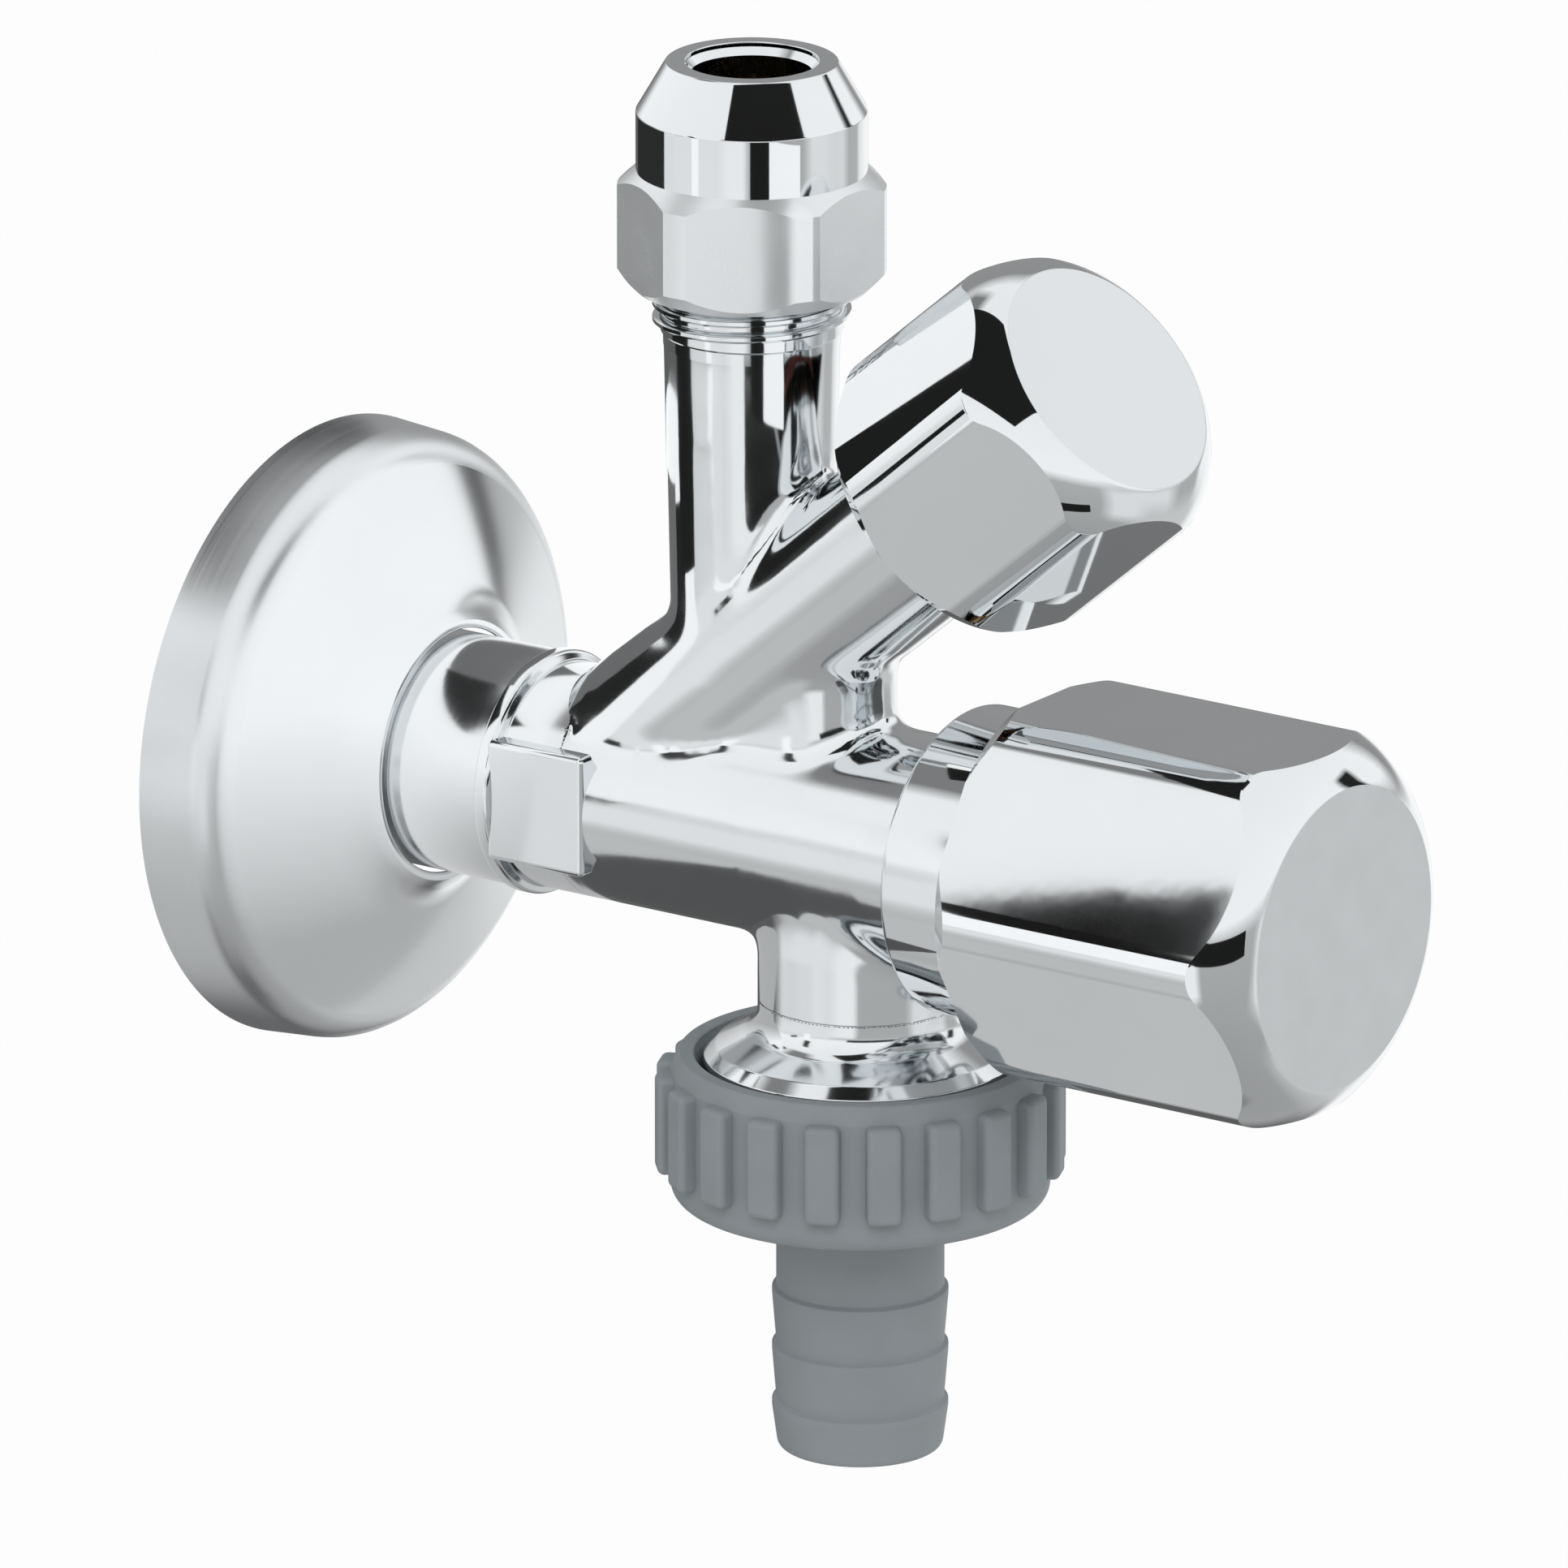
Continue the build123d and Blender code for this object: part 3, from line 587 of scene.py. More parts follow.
class ValveStep:
    """Shared by the operators: each one makes its pieces and stops the script if it can't."""

    bl_options = {"REGISTER"}

    def execute(self, context):
        self.make(context.scene.valve_sizes, finishes())
        return {"FINISHED"}


def height_at(sizes, out):
    """Height of the slanting tube's axis at a distance from the wall."""
    return (out - sizes.branch_root) * math.tan(sizes.branch_slope)


def core_shapes(sizes):
    """Closed solids of the casting's tubes, the web and the keel, joined into one volume."""
    main = sizes.main_radius
    branch = sizes.branch_radius
    web = sizes.web_radius
    web_out = WEB_OUT * MM
    keel_start = (web_out - sizes.branch_root) / math.cos(sizes.branch_slope)
    crossing = height_at(sizes, sizes.pipe_out)
    flare = BRANCH_FLARE * MM
    slant = branch_line(sizes)
    core, *tools = (
        place(lathe(name, outline, closed=False), line)
        for name, line, outline in (
            ("core", inlet_line(), [(main, CORE_START * MM), (main, CORE_END * MM)]),
            ("slant", slant, [(branch - flare, 0), (branch + flare, BRANCH_END * MM)]),
            (
                "upright",
                pipe_line(sizes),
                [(UPRIGHT_FOOT_RADIUS * MM, crossing), (UPRIGHT_TOP_RADIUS * MM, UPRIGHT_TOP * MM)],
            ),
            ("drop", hose_line(sizes), [(DROP_RADIUS * MM, 0), (DROP_RADIUS * MM, DROP_END * MM)]),
            ("column", line_at((0, -web_out, 0), (0, 0, 1)), [(web, 0), (web, height_at(sizes, web_out))]),
            (
                "keel",
                slant @ Matrix.Translation((0, -KEEL_DROP * MM, keel_start)),
                [(web, 0), (KEEL_TIP_RADIUS * MM, KEEL_LENGTH * MM)],
            ),
        )
    )
    for tool in (*tools, web_panel(sizes, web_out)):
        cut(core, tool, "UNION")
    return core


def bores(sizes):
    """The passages and the two seats, as the frame's casting has them."""
    crossing = height_at(sizes, sizes.pipe_out) / MM
    for line, outline in (
        (inlet_line(), (
            (5.5, 29), (5.5, 43.8), (4.4, 43.8), (4.4, 49.3), (7, 49.3), (7, 60.4), (7.6, 60.4), (7.6, 69),
        )),
        (branch_line(sizes), ((3.2, 0), (3.2, 17.6), (5.5, 17.6), (5.5, 32.2), (5.9, 32.2), (5.9, 50.2))),
        (pipe_line(sizes), ((4.3, crossing), (4.3, 44))),
        (hose_line(sizes), ((5.4, 0), (5.4, 15))),
    ):
        bore = lathe("bore", [(across * MM, along * MM) for across, along in outline], closed=False, segments=96)
        yield place(bore, line)


def web_panel(sizes, web_out):
    """Flat-sided filling between the main tube and the branch."""
    start_clean()
    inner = sizes.branch_root + sizes.branch_radius
    bpy.ops.mesh.primitive_cube_add(size=1, location=(0, -(inner + web_out) / 2, WEB_HEIGHT / 2 * MM))
    panel = bpy.context.object
    panel.scale = (2 * sizes.web_radius, web_out - inner, WEB_HEIGHT * MM)
    bpy.ops.object.transform_apply(location=True, rotation=True, scale=True)
    bpy.ops.object.mode_set(mode="EDIT")
    bpy.ops.mesh.select_all(action="SELECT")
    slope = sizes.branch_slope
    bpy.ops.mesh.bisect(
        plane_co=(0, -sizes.branch_root, 0),
        plane_no=(0, math.sin(slope), math.cos(slope)),
        clear_outer=True,
        use_fill=True,
    )
    bpy.ops.object.mode_set(mode="OBJECT")
    return panel


def tube_surfaces(sizes):
    """Each tube's axis start and direction, radius there, growth of the radius and start of the surface."""
    slope = sizes.branch_slope
    crossing = height_at(sizes, sizes.pipe_out)
    behind = BEHIND_AXIS * MM
    branch_growth = 2 * BRANCH_FLARE / BRANCH_END
    upright_growth = UPRIGHT_GROWTH * MM / (UPRIGHT_TOP * MM - crossing)
    branch_way = (0, -math.cos(slope), math.sin(slope))
    return (
        ((0, 0, 0), (0, -1, 0), sizes.main_radius, 0.0, behind),
        ((0, -sizes.branch_root, 0), branch_way, BRANCH_FOOT_RADIUS * MM, branch_growth, behind),
        ((0, -sizes.pipe_out, crossing), (0, 0, 1), UPRIGHT_FOOT_RADIUS * MM, upright_growth, 0.0),
        ((0, -sizes.hose_out, 0), (0, 0, -1), DROP_RADIUS * MM, 0.0, behind),
        ((0, -WEB_OUT * MM, 0), (0, 0, 1), sizes.web_radius, 0.0, behind),
    )


def surface_gaps(spots, sizes):
    """Every point's distance from each tube's and the web's own surface, and the way back onto it."""
    gaps = []
    moves = []
    for origin, direction, radius, growth, start in tube_surfaces(sizes):
        way = np.array(direction)
        offset = spots - np.array(origin)
        along = offset @ way
        out = offset - along[:, None] * way
        across = np.linalg.norm(out, axis=1)
        wanted = radius + growth * along
        gaps.append(np.abs(across - wanted) + FAR_OFF * MM * (along < start))
        moves.append(out * ((wanted / np.maximum(across, 1e-9)) - 1)[:, None])
    gaps.append(np.abs(np.abs(spots[:, 0]) - sizes.web_radius) + FAR_OFF * MM * (spots[:, 2] < 0))
    sideways = np.zeros_like(spots)
    sideways[:, 0] = np.sign(spots[:, 0]) * sizes.web_radius - spots[:, 0]
    moves.append(sideways)
    return np.array(gaps), np.array(moves)


def blend_joins(core, sizes):
    """Runs the tubes into each other: a fine even grid, put back on its tubes, is smoothed only at the joins."""
    apply(core, "REMESH", mode="VOXEL", voxel_size=sizes.voxel)
    spots = np.empty(len(core.data.vertices) * 3)
    core.data.vertices.foreach_get("co", spots)
    spots = spots.reshape(-1, 3)
    gaps, moves = surface_gaps(spots, sizes)
    moves = moves[np.argmin(gaps, axis=0), np.arange(len(spots))]
    gaps = np.sort(gaps, axis=0)
    weight = np.clip(BLEND_FULL - gaps[1] / (BLEND_REACH * MM), 0, 1)
    outside = (spots[:, 1] > -BLEND_BACK * MM) | (spots[:, 2] > BLEND_TOP * MM) | (spots[:, 2] < -BLEND_FOOT * MM)
    weight[outside] = 0
    snap = np.clip(1 - weight * 3, 0, 1) * (gaps[0] < SNAP_REACH * MM)
    spots += moves * snap[:, None]
    core.data.vertices.foreach_set("co", spots.ravel())
    joins = core.vertex_groups.new(name="joins")
    for level in range(1, BLEND_LEVELS + 1):
        near = np.nonzero(np.ceil(weight * BLEND_LEVELS) == level)[0]
        joins.add([int(index) for index in near], level / BLEND_LEVELS, "REPLACE")
    apply(core, "SMOOTH", factor=0.5, iterations=BLEND_PASSES, vertex_group="joins")
    pick(core)
    bpy.ops.object.shade_smooth()
    return core


def wrench_pad():
    """Flat pads for a wrench: a soft-edged block around the casting behind the branch."""
    start_clean()
    bpy.ops.mesh.primitive_cube_add(size=1, location=(0, -PAD_OUT * MM, 0))
    pad = bpy.context.object
    pad.scale = [side * MM for side in PAD_SIZE]
    bpy.ops.object.transform_apply(location=True, rotation=True, scale=True)
    apply(pad, "BEVEL", width=PAD_ROUND * MM, segments=6, limit_method="ANGLE")
    return pad


class VALVE_OT_casting(ValveStep, bpy.types.Operator):
    """Chromed casting with its threads, neck and wrench pad"""

    bl_idname = "valve.casting"
    bl_label = "Casting"

    def make(self, sizes, looks):
        core = blend_joins(core_shapes(sizes), sizes)
        for bore in bores(sizes):
            cut(core, bore)
        core.data.materials.append(looks["cast_chrome"])
        neck = lathe("neck", rounded(
            (5.5, -10.0), (9.1, -10.0), (9.45, -9.6), (9.45, 4.0), (10.1, 4.8), (10.1, 22.8),
            (10.45, 22.8, 0.3), (10.45, 24.2, 0.5), (9.65, 24.5, 0.2), (9.65, 30.6), (5.5, 30.6),
        ))
        join(neck, thread("inlet_ridge", 10.48, 1.1, 1.814, -8.9, 7))
        place(neck, inlet_line())
        neck.data.materials.append(looks["neck_chrome"])
        neck.data.materials.append(looks["cast_chrome"])
        for face in neck.data.polygons:
            face.material_index = int(face.center.y < -NECK_FRONT * MM)
        pad = wrench_pad()
        pad.data.materials.append(looks["cast_chrome"])
        join(neck, pad)
        flange = lathe("flange", rounded(
            (5.4, 14.0), (8.6, 14.0), (8.6, 16.2, 2.4), (12.15, 18.1, 1.0), (13.15, 19.0, 0.2), (13.15, 19.6, 0.1),
            (12.15, 19.6), (12.15, 26.1), (11.8, 26.5), (5.4, 26.5),
        ))
        join(flange, thread("hose_ridge", 13.22, 1.15, 1.814, 20.4, 3))
        place(flange, hose_line(sizes))
        flange.data.materials.append(looks["cast_chrome"])
        top = lathe("top", rounded(
            (5.05, 41.0), (7.38, 41.0), (7.4, 42.0), (7.6, 42.2), (7.6, 53.4), (7.3, 54.0), (5.05, 54.0),
        ))
        join(top, thread("pipe_ridge", 8.33, 0.85, 1.337, 42.75, 8))
        place(top, pipe_line(sizes))
        top.data.materials.append(looks["cast_chrome"])
        for piece in (neck, flange, top):
            shade(piece, 35)
        join(core, neck, flange, top)
        finish_piece(core, "casting", "valve", "chrome_casting", nodes=("valve_body",))


class VALVE_OT_cover_plate(ValveStep, bpy.types.Operator):
    """Pressed cover plate with its brushed rim"""

    bl_idname = "valve.cover_plate"
    bl_label = "Cover plate"

    def make(self, sizes, looks):
        edge = sizes.plate_radius / MM
        crest = edge - 0.55
        plate = lathe("plate", rounded(
            (edge, 0.0), (crest, 7.2, 3.6), (12.9, 11.2, 5.5), (11.1, 13.6, 0.3), (10.25, 13.6, 0.3),
            (11.9, 10.4, 4.0), (crest - 0.8, 6.4, 2.8), (edge - 0.8, 0.0),
        ), segments=224)
        place(plate, inlet_line())
        plate.data.materials.append(looks["plate_chrome"])
        plate.data.materials.append(looks["plate_rim"])
        for face in plate.data.polygons:
            across = math.hypot(face.center.x, face.center.z)
            if across > (crest - 3.2) * MM and face.center.y > -7.9 * MM:
                face.material_index = 1
        shade(plate, 35)
        finish_piece(plate, "cover_plate", "escutcheon", "chrome_sheet", nodes=("wall_escutcheon",))


class VALVE_OT_sleeve(ValveStep, bpy.types.Operator):
    """Cover ring behind the lower knob"""

    bl_idname = "valve.sleeve"
    bl_label = "Cover ring"

    def make(self, sizes, looks):
        sleeve = lathe("sleeve", rounded(
            (9.7, 66.2), (13.1, 66.2, 0.5), (13.1, 73.1, 0.2), (12.1, 73.1), (12.1, 67.2), (9.7, 67.2),
        ))
        place(sleeve, inlet_line())
        shade(sleeve)
        finish_piece(sleeve, "cover_ring", "valve", "chrome_knob", looks["knob_chrome"], nodes=("lower_sleeve",))


def bulged(start, end, bulge, steps=20):
    """Points of a flat arc from one outline corner to the next, bulging to the left of the way."""
    start, end = Vector(start), Vector(end)
    chord = end - start
    along = chord.normalized()
    out = Vector((along.y, -along.x))
    radius = (chord.length**2 / 4 + bulge**2) / (2 * bulge)
    half = math.asin(chord.length / 2 / radius)
    centre = (start + end) / 2 - out * (radius - bulge)
    turns = [half * (2 * step / steps - 1) for step in range(steps + 1)]
    return [tuple(centre + radius * (out * math.cos(turn) + along * math.sin(turn))) for turn in turns]


def knob(name, corner, corner_round, shoulder, face, back, front, turn, hub):
    """Hollow hexagonal knob: a rounded bar turned off behind, with a bulged shoulder, a crisp face and a hub."""
    half_flats = (corner - corner_round) * math.cos(math.pi / 6) + corner_round
    bar = hexagon(name, half_flats, corner_round, back - 1, front + 1, turn)
    outer = corner + 0.3
    outline = [(outer - 1.6, back), (outer, back + 2.1)]
    outline += bulged((outer, front - shoulder), (face, front - 0.03), 0.7)
    outline.append((face - 0.1, front))
    envelope = lathe("envelope", [(r * MM, z * MM) for r, z in outline], closed=False, segments=192)
    cut(bar, envelope, "INTERSECT")
    inner = (corner - 1.7 - corner_round + 0.85) * math.cos(math.pi / 6) + corner_round - 0.85
    hollow = hexagon("hollow", inner, corner_round - 0.85, back - 1, front - shoulder, turn)
    cut(bar, hollow)
    dish_radius = (face - 1.7) * MM
    cut(bar, lathe("dish", [(dish_radius, (front - 12) * MM), (dish_radius, (front - 2) * MM)], closed=False))
    bore, foot = hub
    post = lathe("post", rounded(
        (bore, foot), (bore + 1.2, foot, 0.3), (bore + 1.2, front - 1.8), (bore, front - 1.8),
    ), segments=64)
    join(bar, post)
    return tidy_normals(bar, 1e-6)


class VALVE_OT_knobs(ValveStep, bpy.types.Operator):
    """The two hexagonal knobs with their satin faces"""

    bl_idname = "valve.knobs"
    bl_label = "Knobs"

    def make(self, sizes, looks):
        lower = sizes.lower_knob_radius / MM
        upper = sizes.upper_knob_radius / MM
        branch = branch_line(sizes)
        wanted = (
            ("lower_knob", inlet_line(), lower, 4.2, 5.1, 12.8, 73.8, 103.9, 0.0, (4.2, 77.65), "lower_handle"),
            ("upper_knob", branch, upper, 3.8, 5.4, 10.5, 47.6, 67.9, -13.0, (3.4, 57.45), "upper_handle"),
        )
        for name, line, corner, corner_round, shoulder, face, back, front, turn, hub, body in wanted:
            piece = knob(name, corner, corner_round, shoulder, face, back, front, turn, hub)
            piece.data.materials.clear()
            piece.data.materials.append(looks["knob_chrome"])
            piece.data.materials.append(looks["knob_face"])
            for part in piece.data.polygons:
                reach = max(math.hypot(*piece.data.vertices[index].co[:2]) for index in part.vertices)
                flat = part.center.z > (front - 0.05) * MM and part.normal.z > 0.5
                part.material_index = int(flat and reach <= (face + 0.05) * MM)
            place(piece, line)
            shade(piece, 22)
            finish_piece(piece, name, body, "chrome_knob")


class VALVE_OT_pipe_nut(ValveStep, bpy.types.Operator):
    """Compression nut with its hexagon, barrel and cone"""

    bl_idname = "valve.pipe_nut"
    bl_label = "Pipe nut"

    def make(self, sizes, looks):
        half_flats = sizes.nut_flats / MM / 2
        bar = hexagon("bar", half_flats, 0.25, 46.0, 56.0)
        envelope = lathe("envelope", rounded(
            (9.8, 45.9), (9.8, 46.0), (11.2, 47.4), (11.2, 54.6), (9.65, 56.0), (9.65, 56.2),
        ), closed=False)
        cut(bar, envelope, "INTERSECT")
        crown = lathe("crown", rounded(
            (6.9, 55.5), (9.65, 55.5), (9.65, 61.0, 0.35), (7.15, 65.3, 0.3), (5.6, 65.3, 0.1), (5.6, 64.9),
            (5.05, 64.3), (5.05, 57.0), (6.9, 57.0),
        ))
        cut(bar, lathe("bore", rounded((8.38, 45.0), (8.38, 55.8), (6.9, 57.0)), closed=False))
        bar.data.materials.clear()
        bar.data.materials.append(looks["nut_satin"])
        crown.data.materials.append(looks["nut_chrome"])
        join(bar, crown)
        place(bar, pipe_line(sizes))
        shade(bar, 20)
        finish_piece(bar, "pipe_nut", "pipe_nut", "chrome_nut", nodes=("compression_nut",))


class VALVE_OT_hose_union(ValveStep, bpy.types.Operator):
    """Ribbed hose nut and barbed hose tail"""

    bl_idname = "valve.hose_union"
    bl_label = "Hose union"

    def make(self, sizes, looks):
        wall = sizes.union_radius / MM
        nut = lathe("nut", rounded(
            (13.27, 20.3), (13.9, 19.5), (13.9, 18.8, 0.2), (15.2, 18.8, 0.3), (wall, 20.3, 0.5),
            (wall, 31.6, 1.6), (8.25, 31.6), (8.25, 29.8), (13.27, 29.8),
        ))
        step = 360 / RIB_COUNT
        join(nut, *(self.rib(wall, math.radians(RIB_START + step * index)) for index in range(RIB_COUNT)))
        place(nut, hose_line(sizes))
        shade(nut, 40)
        finish_piece(nut, "hose_nut", "hose_nut", "grey_plastic", looks["moulded_grey"], nodes=("union_nut",))
        corners = [(4.7, 28.0), (12.7, 28.0), (12.7, 29.8), (8.2, 29.8), (8.2, 31.0), (7.05, 31.6)]
        for index in range(BARB_COUNT):
            crest = BARB_START + index * BARB_PITCH
            corners += [(7.05, crest - 0.25, 0.1), (7.4, crest, 0.12), (7.4, crest + 0.5, 0.15)]
        corners += [(6.9, 53.4, 0.7), (4.7, 53.4, 0.2)]
        tail = lathe("tail", rounded(*corners))
        place(tail, hose_line(sizes))
        shade(tail, 40)
        finish_piece(tail, "hose_tail", "tail", "grey_plastic", looks["moulded_grey"])

    def rib(self, wall, turn):
        """One grip rib with round edges, turned to its place."""
        start_clean()
        bpy.ops.mesh.primitive_cube_add(size=1)
        rib = bpy.context.object
        rib.scale = [side * MM for side in RIB_SIZE]
        rib.location = ((wall + RIB_STAND) * MM, 0, RIB_MIDDLE * MM)
        bpy.ops.object.transform_apply(location=True, rotation=True, scale=True)
        apply(rib, "BEVEL", width=0.6 * MM, segments=4, limit_method="ANGLE")
        rib.matrix_world = Matrix.Rotation(turn, 4, "Z")
        bpy.ops.object.transform_apply(location=True, rotation=True, scale=True)
        return rib


class VALVE_OT_inner_pieces(ValveStep, bpy.types.Operator):
    """Finishes of the pieces held inside, which keep the frame's own shapes"""

    bl_idname = "valve.inner_pieces"
    bl_label = "Inner pieces"

    def make(self, sizes, looks):
        by_slot = {
            "brass": "turned_brass",
            "steel": "spring_steel",
            "black_rubber": "seal_rubber",
            "fibre": "pressed_fibre",
            "white_plastic": "cage_plastic",
            "grey_plastic": "moulded_grey",
            "chrome_casting": "cast_chrome",
            "chrome_sheet": "plate_chrome",
            "chrome_knob": "knob_chrome",
            "chrome_nut": "nut_chrome",
        }
        for part in frame["record"]["subparts"]:
            node = frame["nodes"][part["node"]]
            for slot in node.material_slots:
                slot.material = looks[by_slot[part["material_slot"]]]


STUDIO_CARDS = (
    # Azimuth, height, half width, half height, softness, strength
    (120.0, 20.0, 30.0, 24.0, 0.10, 0.32),
    (160.0, -36.0, 38.0, 28.0, 0.10, 0.12),
    (98.0, -22.0, 20.0, 17.0, 0.05, 1.05),
    (28.0, -15.0, 24.0, 14.0, 0.08, 0.85),
    (58.0, -34.0, 26.0, 14.0, 0.10, 0.66),
    (59.0, 12.0, 5.0, 9.0, 0.03, 0.02),
    (-85.0, -17.0, 24.0, 13.0, 0.05, 1.00),
    (-122.0, -10.0, 36.0, 12.0, 0.10, 0.90),
    (-115.0, -38.0, 26.0, 14.0, 0.10, 0.60),
    (180.0, 58.0, 22.0, 8.0, 0.06, 0.24),
    (-162.0, -57.0, 24.0, 8.0, 0.08, 0.60),
    (0.0, -88.0, 10.0, 10.0, 0.08, 0.02),
)
STUDIO_FLAGS = (
    # Name, middle, width and height, turn, level
    ("lower_flag", (-217, 60, 106), (31, 130), (90.0, 17.6, 90.0), 0.012),
    ("lower_panel", (-217, 43, -2), (34, 86), (90.0, 0.0, 90.0), 1.15),
    ("knob_flag", (-217, 138, 16), (62, 26), (90.0, -22.0, 90.0), 0.012),
    ("upper_flag", (-31, -82, 80), (58, 66), (0.0, 0.0, 0.0), 0.015),
    ("front_flag", (-70, -140, -4.5), (120, 15), (90.0, 0.0, -45.0), 0.015),
    ("edge_flag", (-10, -36, 33.5), (5.4, 27), (90.0, 0.0, 0.0), 0.015),
    ("wedge_flag", (23, -14.2, 14), (7, 18), (90.0, 0.0, 0.0), 0.015),
    ("neck_flag", (-10, -15.2, 15), (11, 9.5), (90.0, 0.0, 0.0), 0.02),
    ("neck_top_flag", (4, -15.2, 16), (17, 11), (90.0, 0.0, 0.0), 0.17),
    ("stripe_flag", (-12, -54, 47), (5.2, 26), (90.0, 0.0, 0.0), 0.015),
    ("stripe_panel", (-7.2, -54, 47), (4.4, 26), (90.0, 0.0, 0.0), 1.1),
    ("wall_foot_flag", (-10, 6, -79), (140, 50), (90.0, 0.0, 0.0), 0.10),
    ("rim_flag", (-8, 8, 39), (56, 18), (90.0, 0.0, 0.0), 0.03),
)
PLATE_PANEL = ((10.7, 14.6), (30.0, 14.6), (30.0, 14.62), (10.7, 14.62))
PLATE_PANEL_LEVELS = (0.50, 1.12)
PANEL_FOOT = -18
PANEL_TOP = 6
STUDIO_LAMPS = (
    # Name, place, power, size
    ("key", (-0.9, -0.55, 0.9), 5.0, 0.7),
    ("fill", (0.6, -0.9, 0.4), 1.8, 0.8),
)
LAMP_AIM = (0, -0.045, 0)
FLOOR_SIDE = 60.0
FLOOR_HEIGHT = -0.30
SOFT_LIGHT = 0.72
FLOOR_GLOW = 0.94


def studio_world():
    """White studio: the camera sees plain white, the metal a bright upper half, a grey lower one and cards."""
    world = bpy.data.worlds.new("studio")
    bpy.context.scene.world = world
    world.use_nodes = True
    tree = world.node_tree
    tree.nodes.clear()
    leave = tree.nodes.new("ShaderNodeOutputWorld")
    path = tree.nodes.new("ShaderNodeLightPath")
    where = tree.nodes.new("ShaderNodeTexCoord")
    split = tree.nodes.new("ShaderNodeSeparateXYZ")
    tree.links.new(where.outputs["Generated"], split.inputs[0])
    below = mapped(tree, split.outputs["Z"], -1.0, -0.05, 0.38, 0.50)
    above = mapped(tree, split.outputs["Z"], 0.0, 0.9, 1.08, 1.0)
    rise = mapped(tree, split.outputs["Z"], -0.04, 0.10, 0.0, 1.0)
    seen = blended(tree, rise, below, above)
    for card in STUDIO_CARDS:
        seen = studio_card(tree, where.outputs["Generated"], seen, *card)
    glossy = tree.nodes.new("ShaderNodeBackground")
    tree.links.new(seen, glossy.inputs["Strength"])
    plain = tree.nodes.new("ShaderNodeBackground")
    plain.inputs["Strength"].default_value = SOFT_LIGHT
    white = tree.nodes.new("ShaderNodeBackground")
    white.inputs["Strength"].default_value = 1.0
    for node in (glossy, plain, white):
        node.inputs["Color"].default_value = (1, 1, 1, 1)
    metal_sees = mixed_shader(tree, path.outputs["Is Glossy Ray"], plain.outputs[0], glossy.outputs[0])
    camera_sees = mixed_shader(tree, path.outputs["Is Camera Ray"], metal_sees, white.outputs[0])
    tree.links.new(camera_sees, leave.inputs["Surface"])


def mixed_shader(tree, mask, first, second):
    """Shader that a mask carries from the first to the second."""
    mix = tree.nodes.new("ShaderNodeMixShader")
    for socket, value in zip(mix.inputs, (mask, first, second)):
        tree.links.new(value, socket)
    return mix.outputs[0]


def blended(tree, mask, low, high):
    """Value that a mask carries from one to another; either may be a number."""
    mix = tree.nodes.new("ShaderNodeMix")
    mix.data_type = "FLOAT"
    tree.links.new(mask, mix.inputs["Factor"])
    feed(tree, mix.inputs["A"], low)
    feed(tree, mix.inputs["B"], high)
    return mix.outputs["Result"]


def studio_card(tree, where, below, azimuth, height, wide, tall, soft, strength):
    """One card of the studio: a soft-edged rectangle of directions laid over what is below it."""
    a, e = math.radians(azimuth), math.radians(height)
    middle = Vector((math.sin(a) * math.cos(e), -math.cos(a) * math.cos(e), math.sin(e)))
    side = Vector((math.cos(a), math.sin(a), 0))
    up = middle.cross(side)
    masks = []
    for axis, reach in ((side, wide), (up, tall)):
        size = math_node(tree, "ABSOLUTE", vector_node(tree, "DOT_PRODUCT", "Value", where, axis))
        edge = math.sin(math.radians(reach))
        masks.append(mapped(tree, size, edge - soft, edge + soft, 1.0, 0.0))
    facing = vector_node(tree, "DOT_PRODUCT", "Value", where, middle)
    masks.append(math_node(tree, "GREATER_THAN", facing, 0.0))
    mask = math_node(tree, "MULTIPLY", math_node(tree, "MULTIPLY", masks[0], masks[1]), masks[2])
    return blended(tree, mask, below, strength)


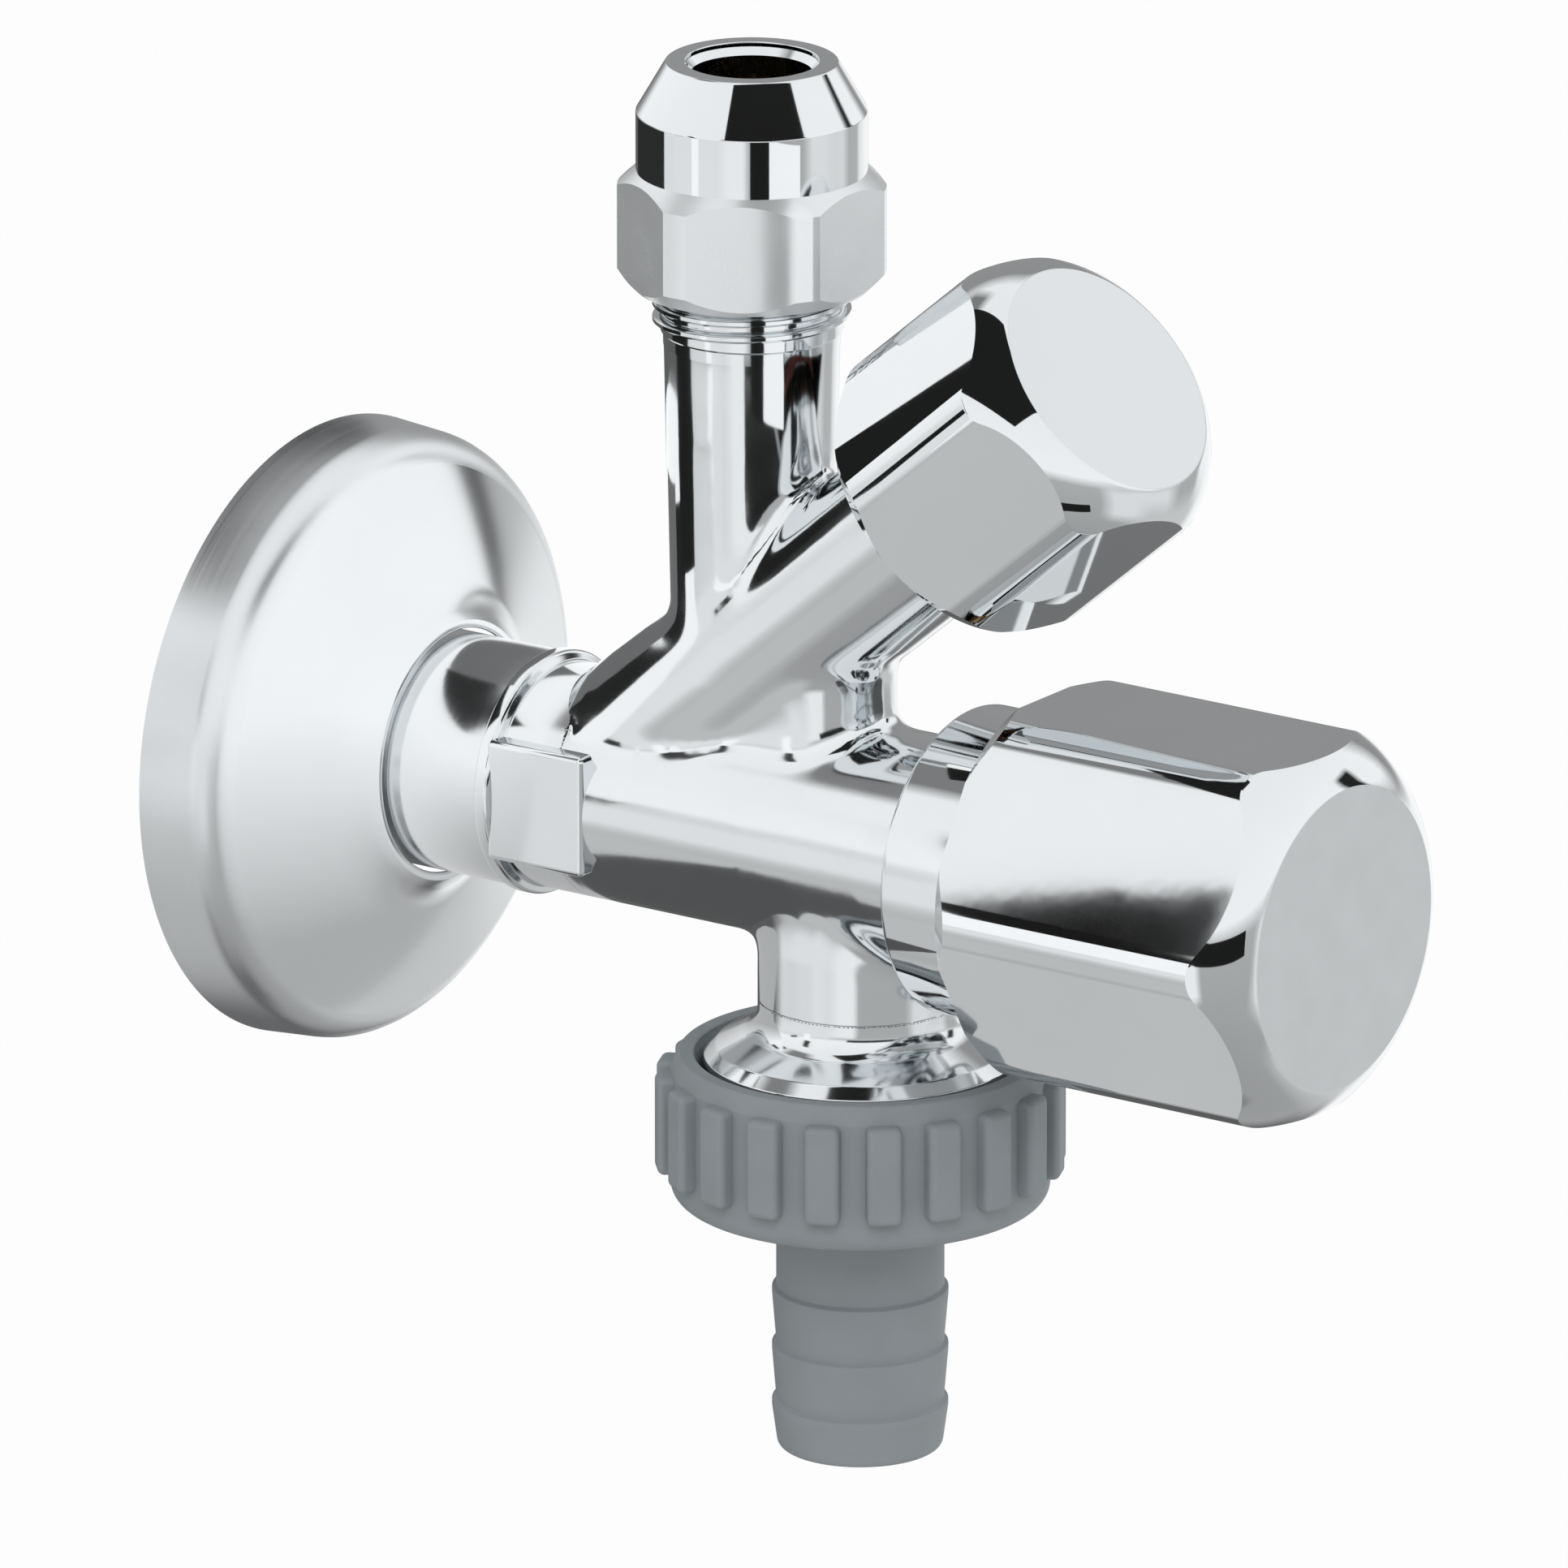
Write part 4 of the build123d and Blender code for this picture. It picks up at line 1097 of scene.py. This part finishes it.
class VALVE_OT_studio(bpy.types.Operator):
    """Pale floor, soft light and the camera at the photograph's angle"""

    bl_idname = "valve.studio"
    bl_label = "Studio"

    def execute(self, context):
        scene = context.scene
        scene.view_settings.view_transform = "Standard"
        studio_world()
        self.floor(scene.valve_finish)
        self.flags()
        self.lamps()
        self.camera(scene)
        return {"FINISHED"}

    def floor(self, look):
        """Large pale floor far below a valve that hangs on a wall."""
        start_clean()
        bpy.ops.mesh.primitive_plane_add(size=FLOOR_SIDE, location=(0, 0, FLOOR_HEIGHT))
        floor = bpy.context.object
        floor.name = "floor"
        material, tree, shader = new_material("pale_floor")
        patch = group_node(tree, mottle_group(), Scale=3.0, Low=0.0, High=1.0)
        tone = tuple(look.floor)
        dark = [part * 0.985 for part in tone]
        tree.links.new(tinted(tree, patch.outputs["Value"], dark, tone), shader.inputs["Base Color"])
        shader.inputs["Roughness"].default_value = 0.9
        glow = tree.nodes.new("ShaderNodeEmission")
        glow.inputs["Strength"].default_value = 1.0
        path = tree.nodes.new("ShaderNodeLightPath")
        mask = math_node(tree, "MULTIPLY", path.outputs["Is Camera Ray"], FLOOR_GLOW)
        seen = mixed_shader(tree, mask, shader.outputs[0], glow.outputs[0])
        tree.links.new(seen, tree.nodes["Material Output"].inputs["Surface"])
        floor.data.materials.append(material)
        floor.visible_glossy = False

    def flags(self):
        """Small panels beside the valve, seen only by the metal: near ones reach one piece and miss the next."""
        for name, spot, size, turn, level in STUDIO_FLAGS:
            start_clean()
            bpy.ops.mesh.primitive_plane_add(size=1, location=[part * MM for part in spot])
            flag = bpy.context.object
            flag.name = name
            flag.scale = (size[0] * MM, size[1] * MM, 1)
            flag.rotation_euler = [math.radians(part) for part in turn]
            bpy.ops.object.transform_apply(location=True, rotation=True, scale=True)
            self.glowing(flag, level, level)
        panel = lathe("plate_panel", rounded(*PLATE_PANEL))
        place(panel, inlet_line())
        self.glowing(panel, *PLATE_PANEL_LEVELS)

    def glowing(self, flag, low, high):
        """Gives a panel its level, from its foot to its top, and hides it from everything but the metal."""
        material, tree, shader = new_material(flag.name)
        where = tree.nodes.new("ShaderNodeTexCoord")
        split = tree.nodes.new("ShaderNodeSeparateXYZ")
        tree.links.new(where.outputs["Object"], split.inputs[0])
        level = mapped(tree, split.outputs["Z"], PANEL_FOOT * MM, PANEL_TOP * MM, low, high)
        patch = group_node(tree, mottle_group(), Scale=8.0, Low=0.96, High=1.0)
        glow = tree.nodes.new("ShaderNodeEmission")
        tree.links.new(math_node(tree, "MULTIPLY", patch.outputs["Value"], level), glow.inputs["Strength"])
        tree.links.new(glow.outputs[0], tree.nodes["Material Output"].inputs["Surface"])
        flag.data.materials.append(material)
        flag.visible_camera = False
        flag.visible_diffuse = False
        flag.visible_shadow = False
        flag.visible_transmission = False

    def lamps(self):
        """Two soft lamps for the plastic and the satin faces."""
        for name, spot, power, size in STUDIO_LAMPS:
            start_clean()
            bpy.ops.object.light_add(type="AREA", location=spot)
            lamp = bpy.context.object
            lamp.name = name
            lamp.data.energy = power
            lamp.data.size = size
            aim = Vector(LAMP_AIM) - Vector(spot)
            lamp.rotation_mode = "QUATERNION"
            lamp.rotation_quaternion = aim.to_track_quat("-Z", "Y")
            lamp.visible_glossy = False

    def camera(self, scene):
        """Long lens from the photograph's direction."""
        back = Vector(CAMERA_BACK).normalized()
        right = Vector(CAMERA_RIGHT).normalized()
        up = back.cross(right).normalized()
        target = AIM_RIGHT * right - AIM_DOWN * up
        start_clean()
        bpy.ops.object.camera_add(location=target + back * CAMERA_DISTANCE)
        camera = bpy.context.object
        camera.rotation_mode = "QUATERNION"
        camera.rotation_quaternion = (-back).to_track_quat("-Z", "Y")
        camera.data.lens = CAMERA_LENS
        camera.data.sensor_width = CAMERA_SENSOR
        camera.data.clip_end = 100
        scene.camera = camera


class VALVE_PT_panel(bpy.types.Panel):
    """Lists the sizes, the finishes and the steps"""

    bl_idname = "VALVE_PT_panel"
    bl_label = "Washing machine valve"
    bl_space_type = "VIEW_3D"
    bl_region_type = "UI"
    bl_category = "Valve"

    def draw(self, context):
        for group in (context.scene.valve_sizes, context.scene.valve_finish):
            column = self.layout.column()
            for key in group.bl_rna.properties.keys():
                if key not in ("rna_type", "name"):
                    column.prop(group, key)
        for step in STEPS:
            self.layout.operator(step.bl_idname)


STEPS = (
    VALVE_OT_casting,
    VALVE_OT_cover_plate,
    VALVE_OT_sleeve,
    VALVE_OT_knobs,
    VALVE_OT_pipe_nut,
    VALVE_OT_hose_union,
    VALVE_OT_inner_pieces,
    VALVE_OT_studio,
)


def register():
    """Adds the settings, the steps and the panel."""
    for thing in (ValveSizes, ValveFinish, *STEPS, VALVE_PT_panel):
        bpy.utils.register_class(thing)
    bpy.types.Scene.valve_sizes = bpy.props.PointerProperty(type=ValveSizes)
    bpy.types.Scene.valve_finish = bpy.props.PointerProperty(type=ValveFinish)


def unregister():
    """Takes them away again."""
    del bpy.types.Scene.valve_finish
    del bpy.types.Scene.valve_sizes
    for thing in reversed((ValveSizes, ValveFinish, *STEPS, VALVE_PT_panel)):
        bpy.utils.unregister_class(thing)


def main():
    """Builds the whole valve."""
    register()
    for step in STEPS:
        group, name = step.bl_idname.split(".")
        getattr(getattr(bpy.ops, group), name)()
    start_clean()
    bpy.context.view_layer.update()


if __name__ == "__main__":
    main()
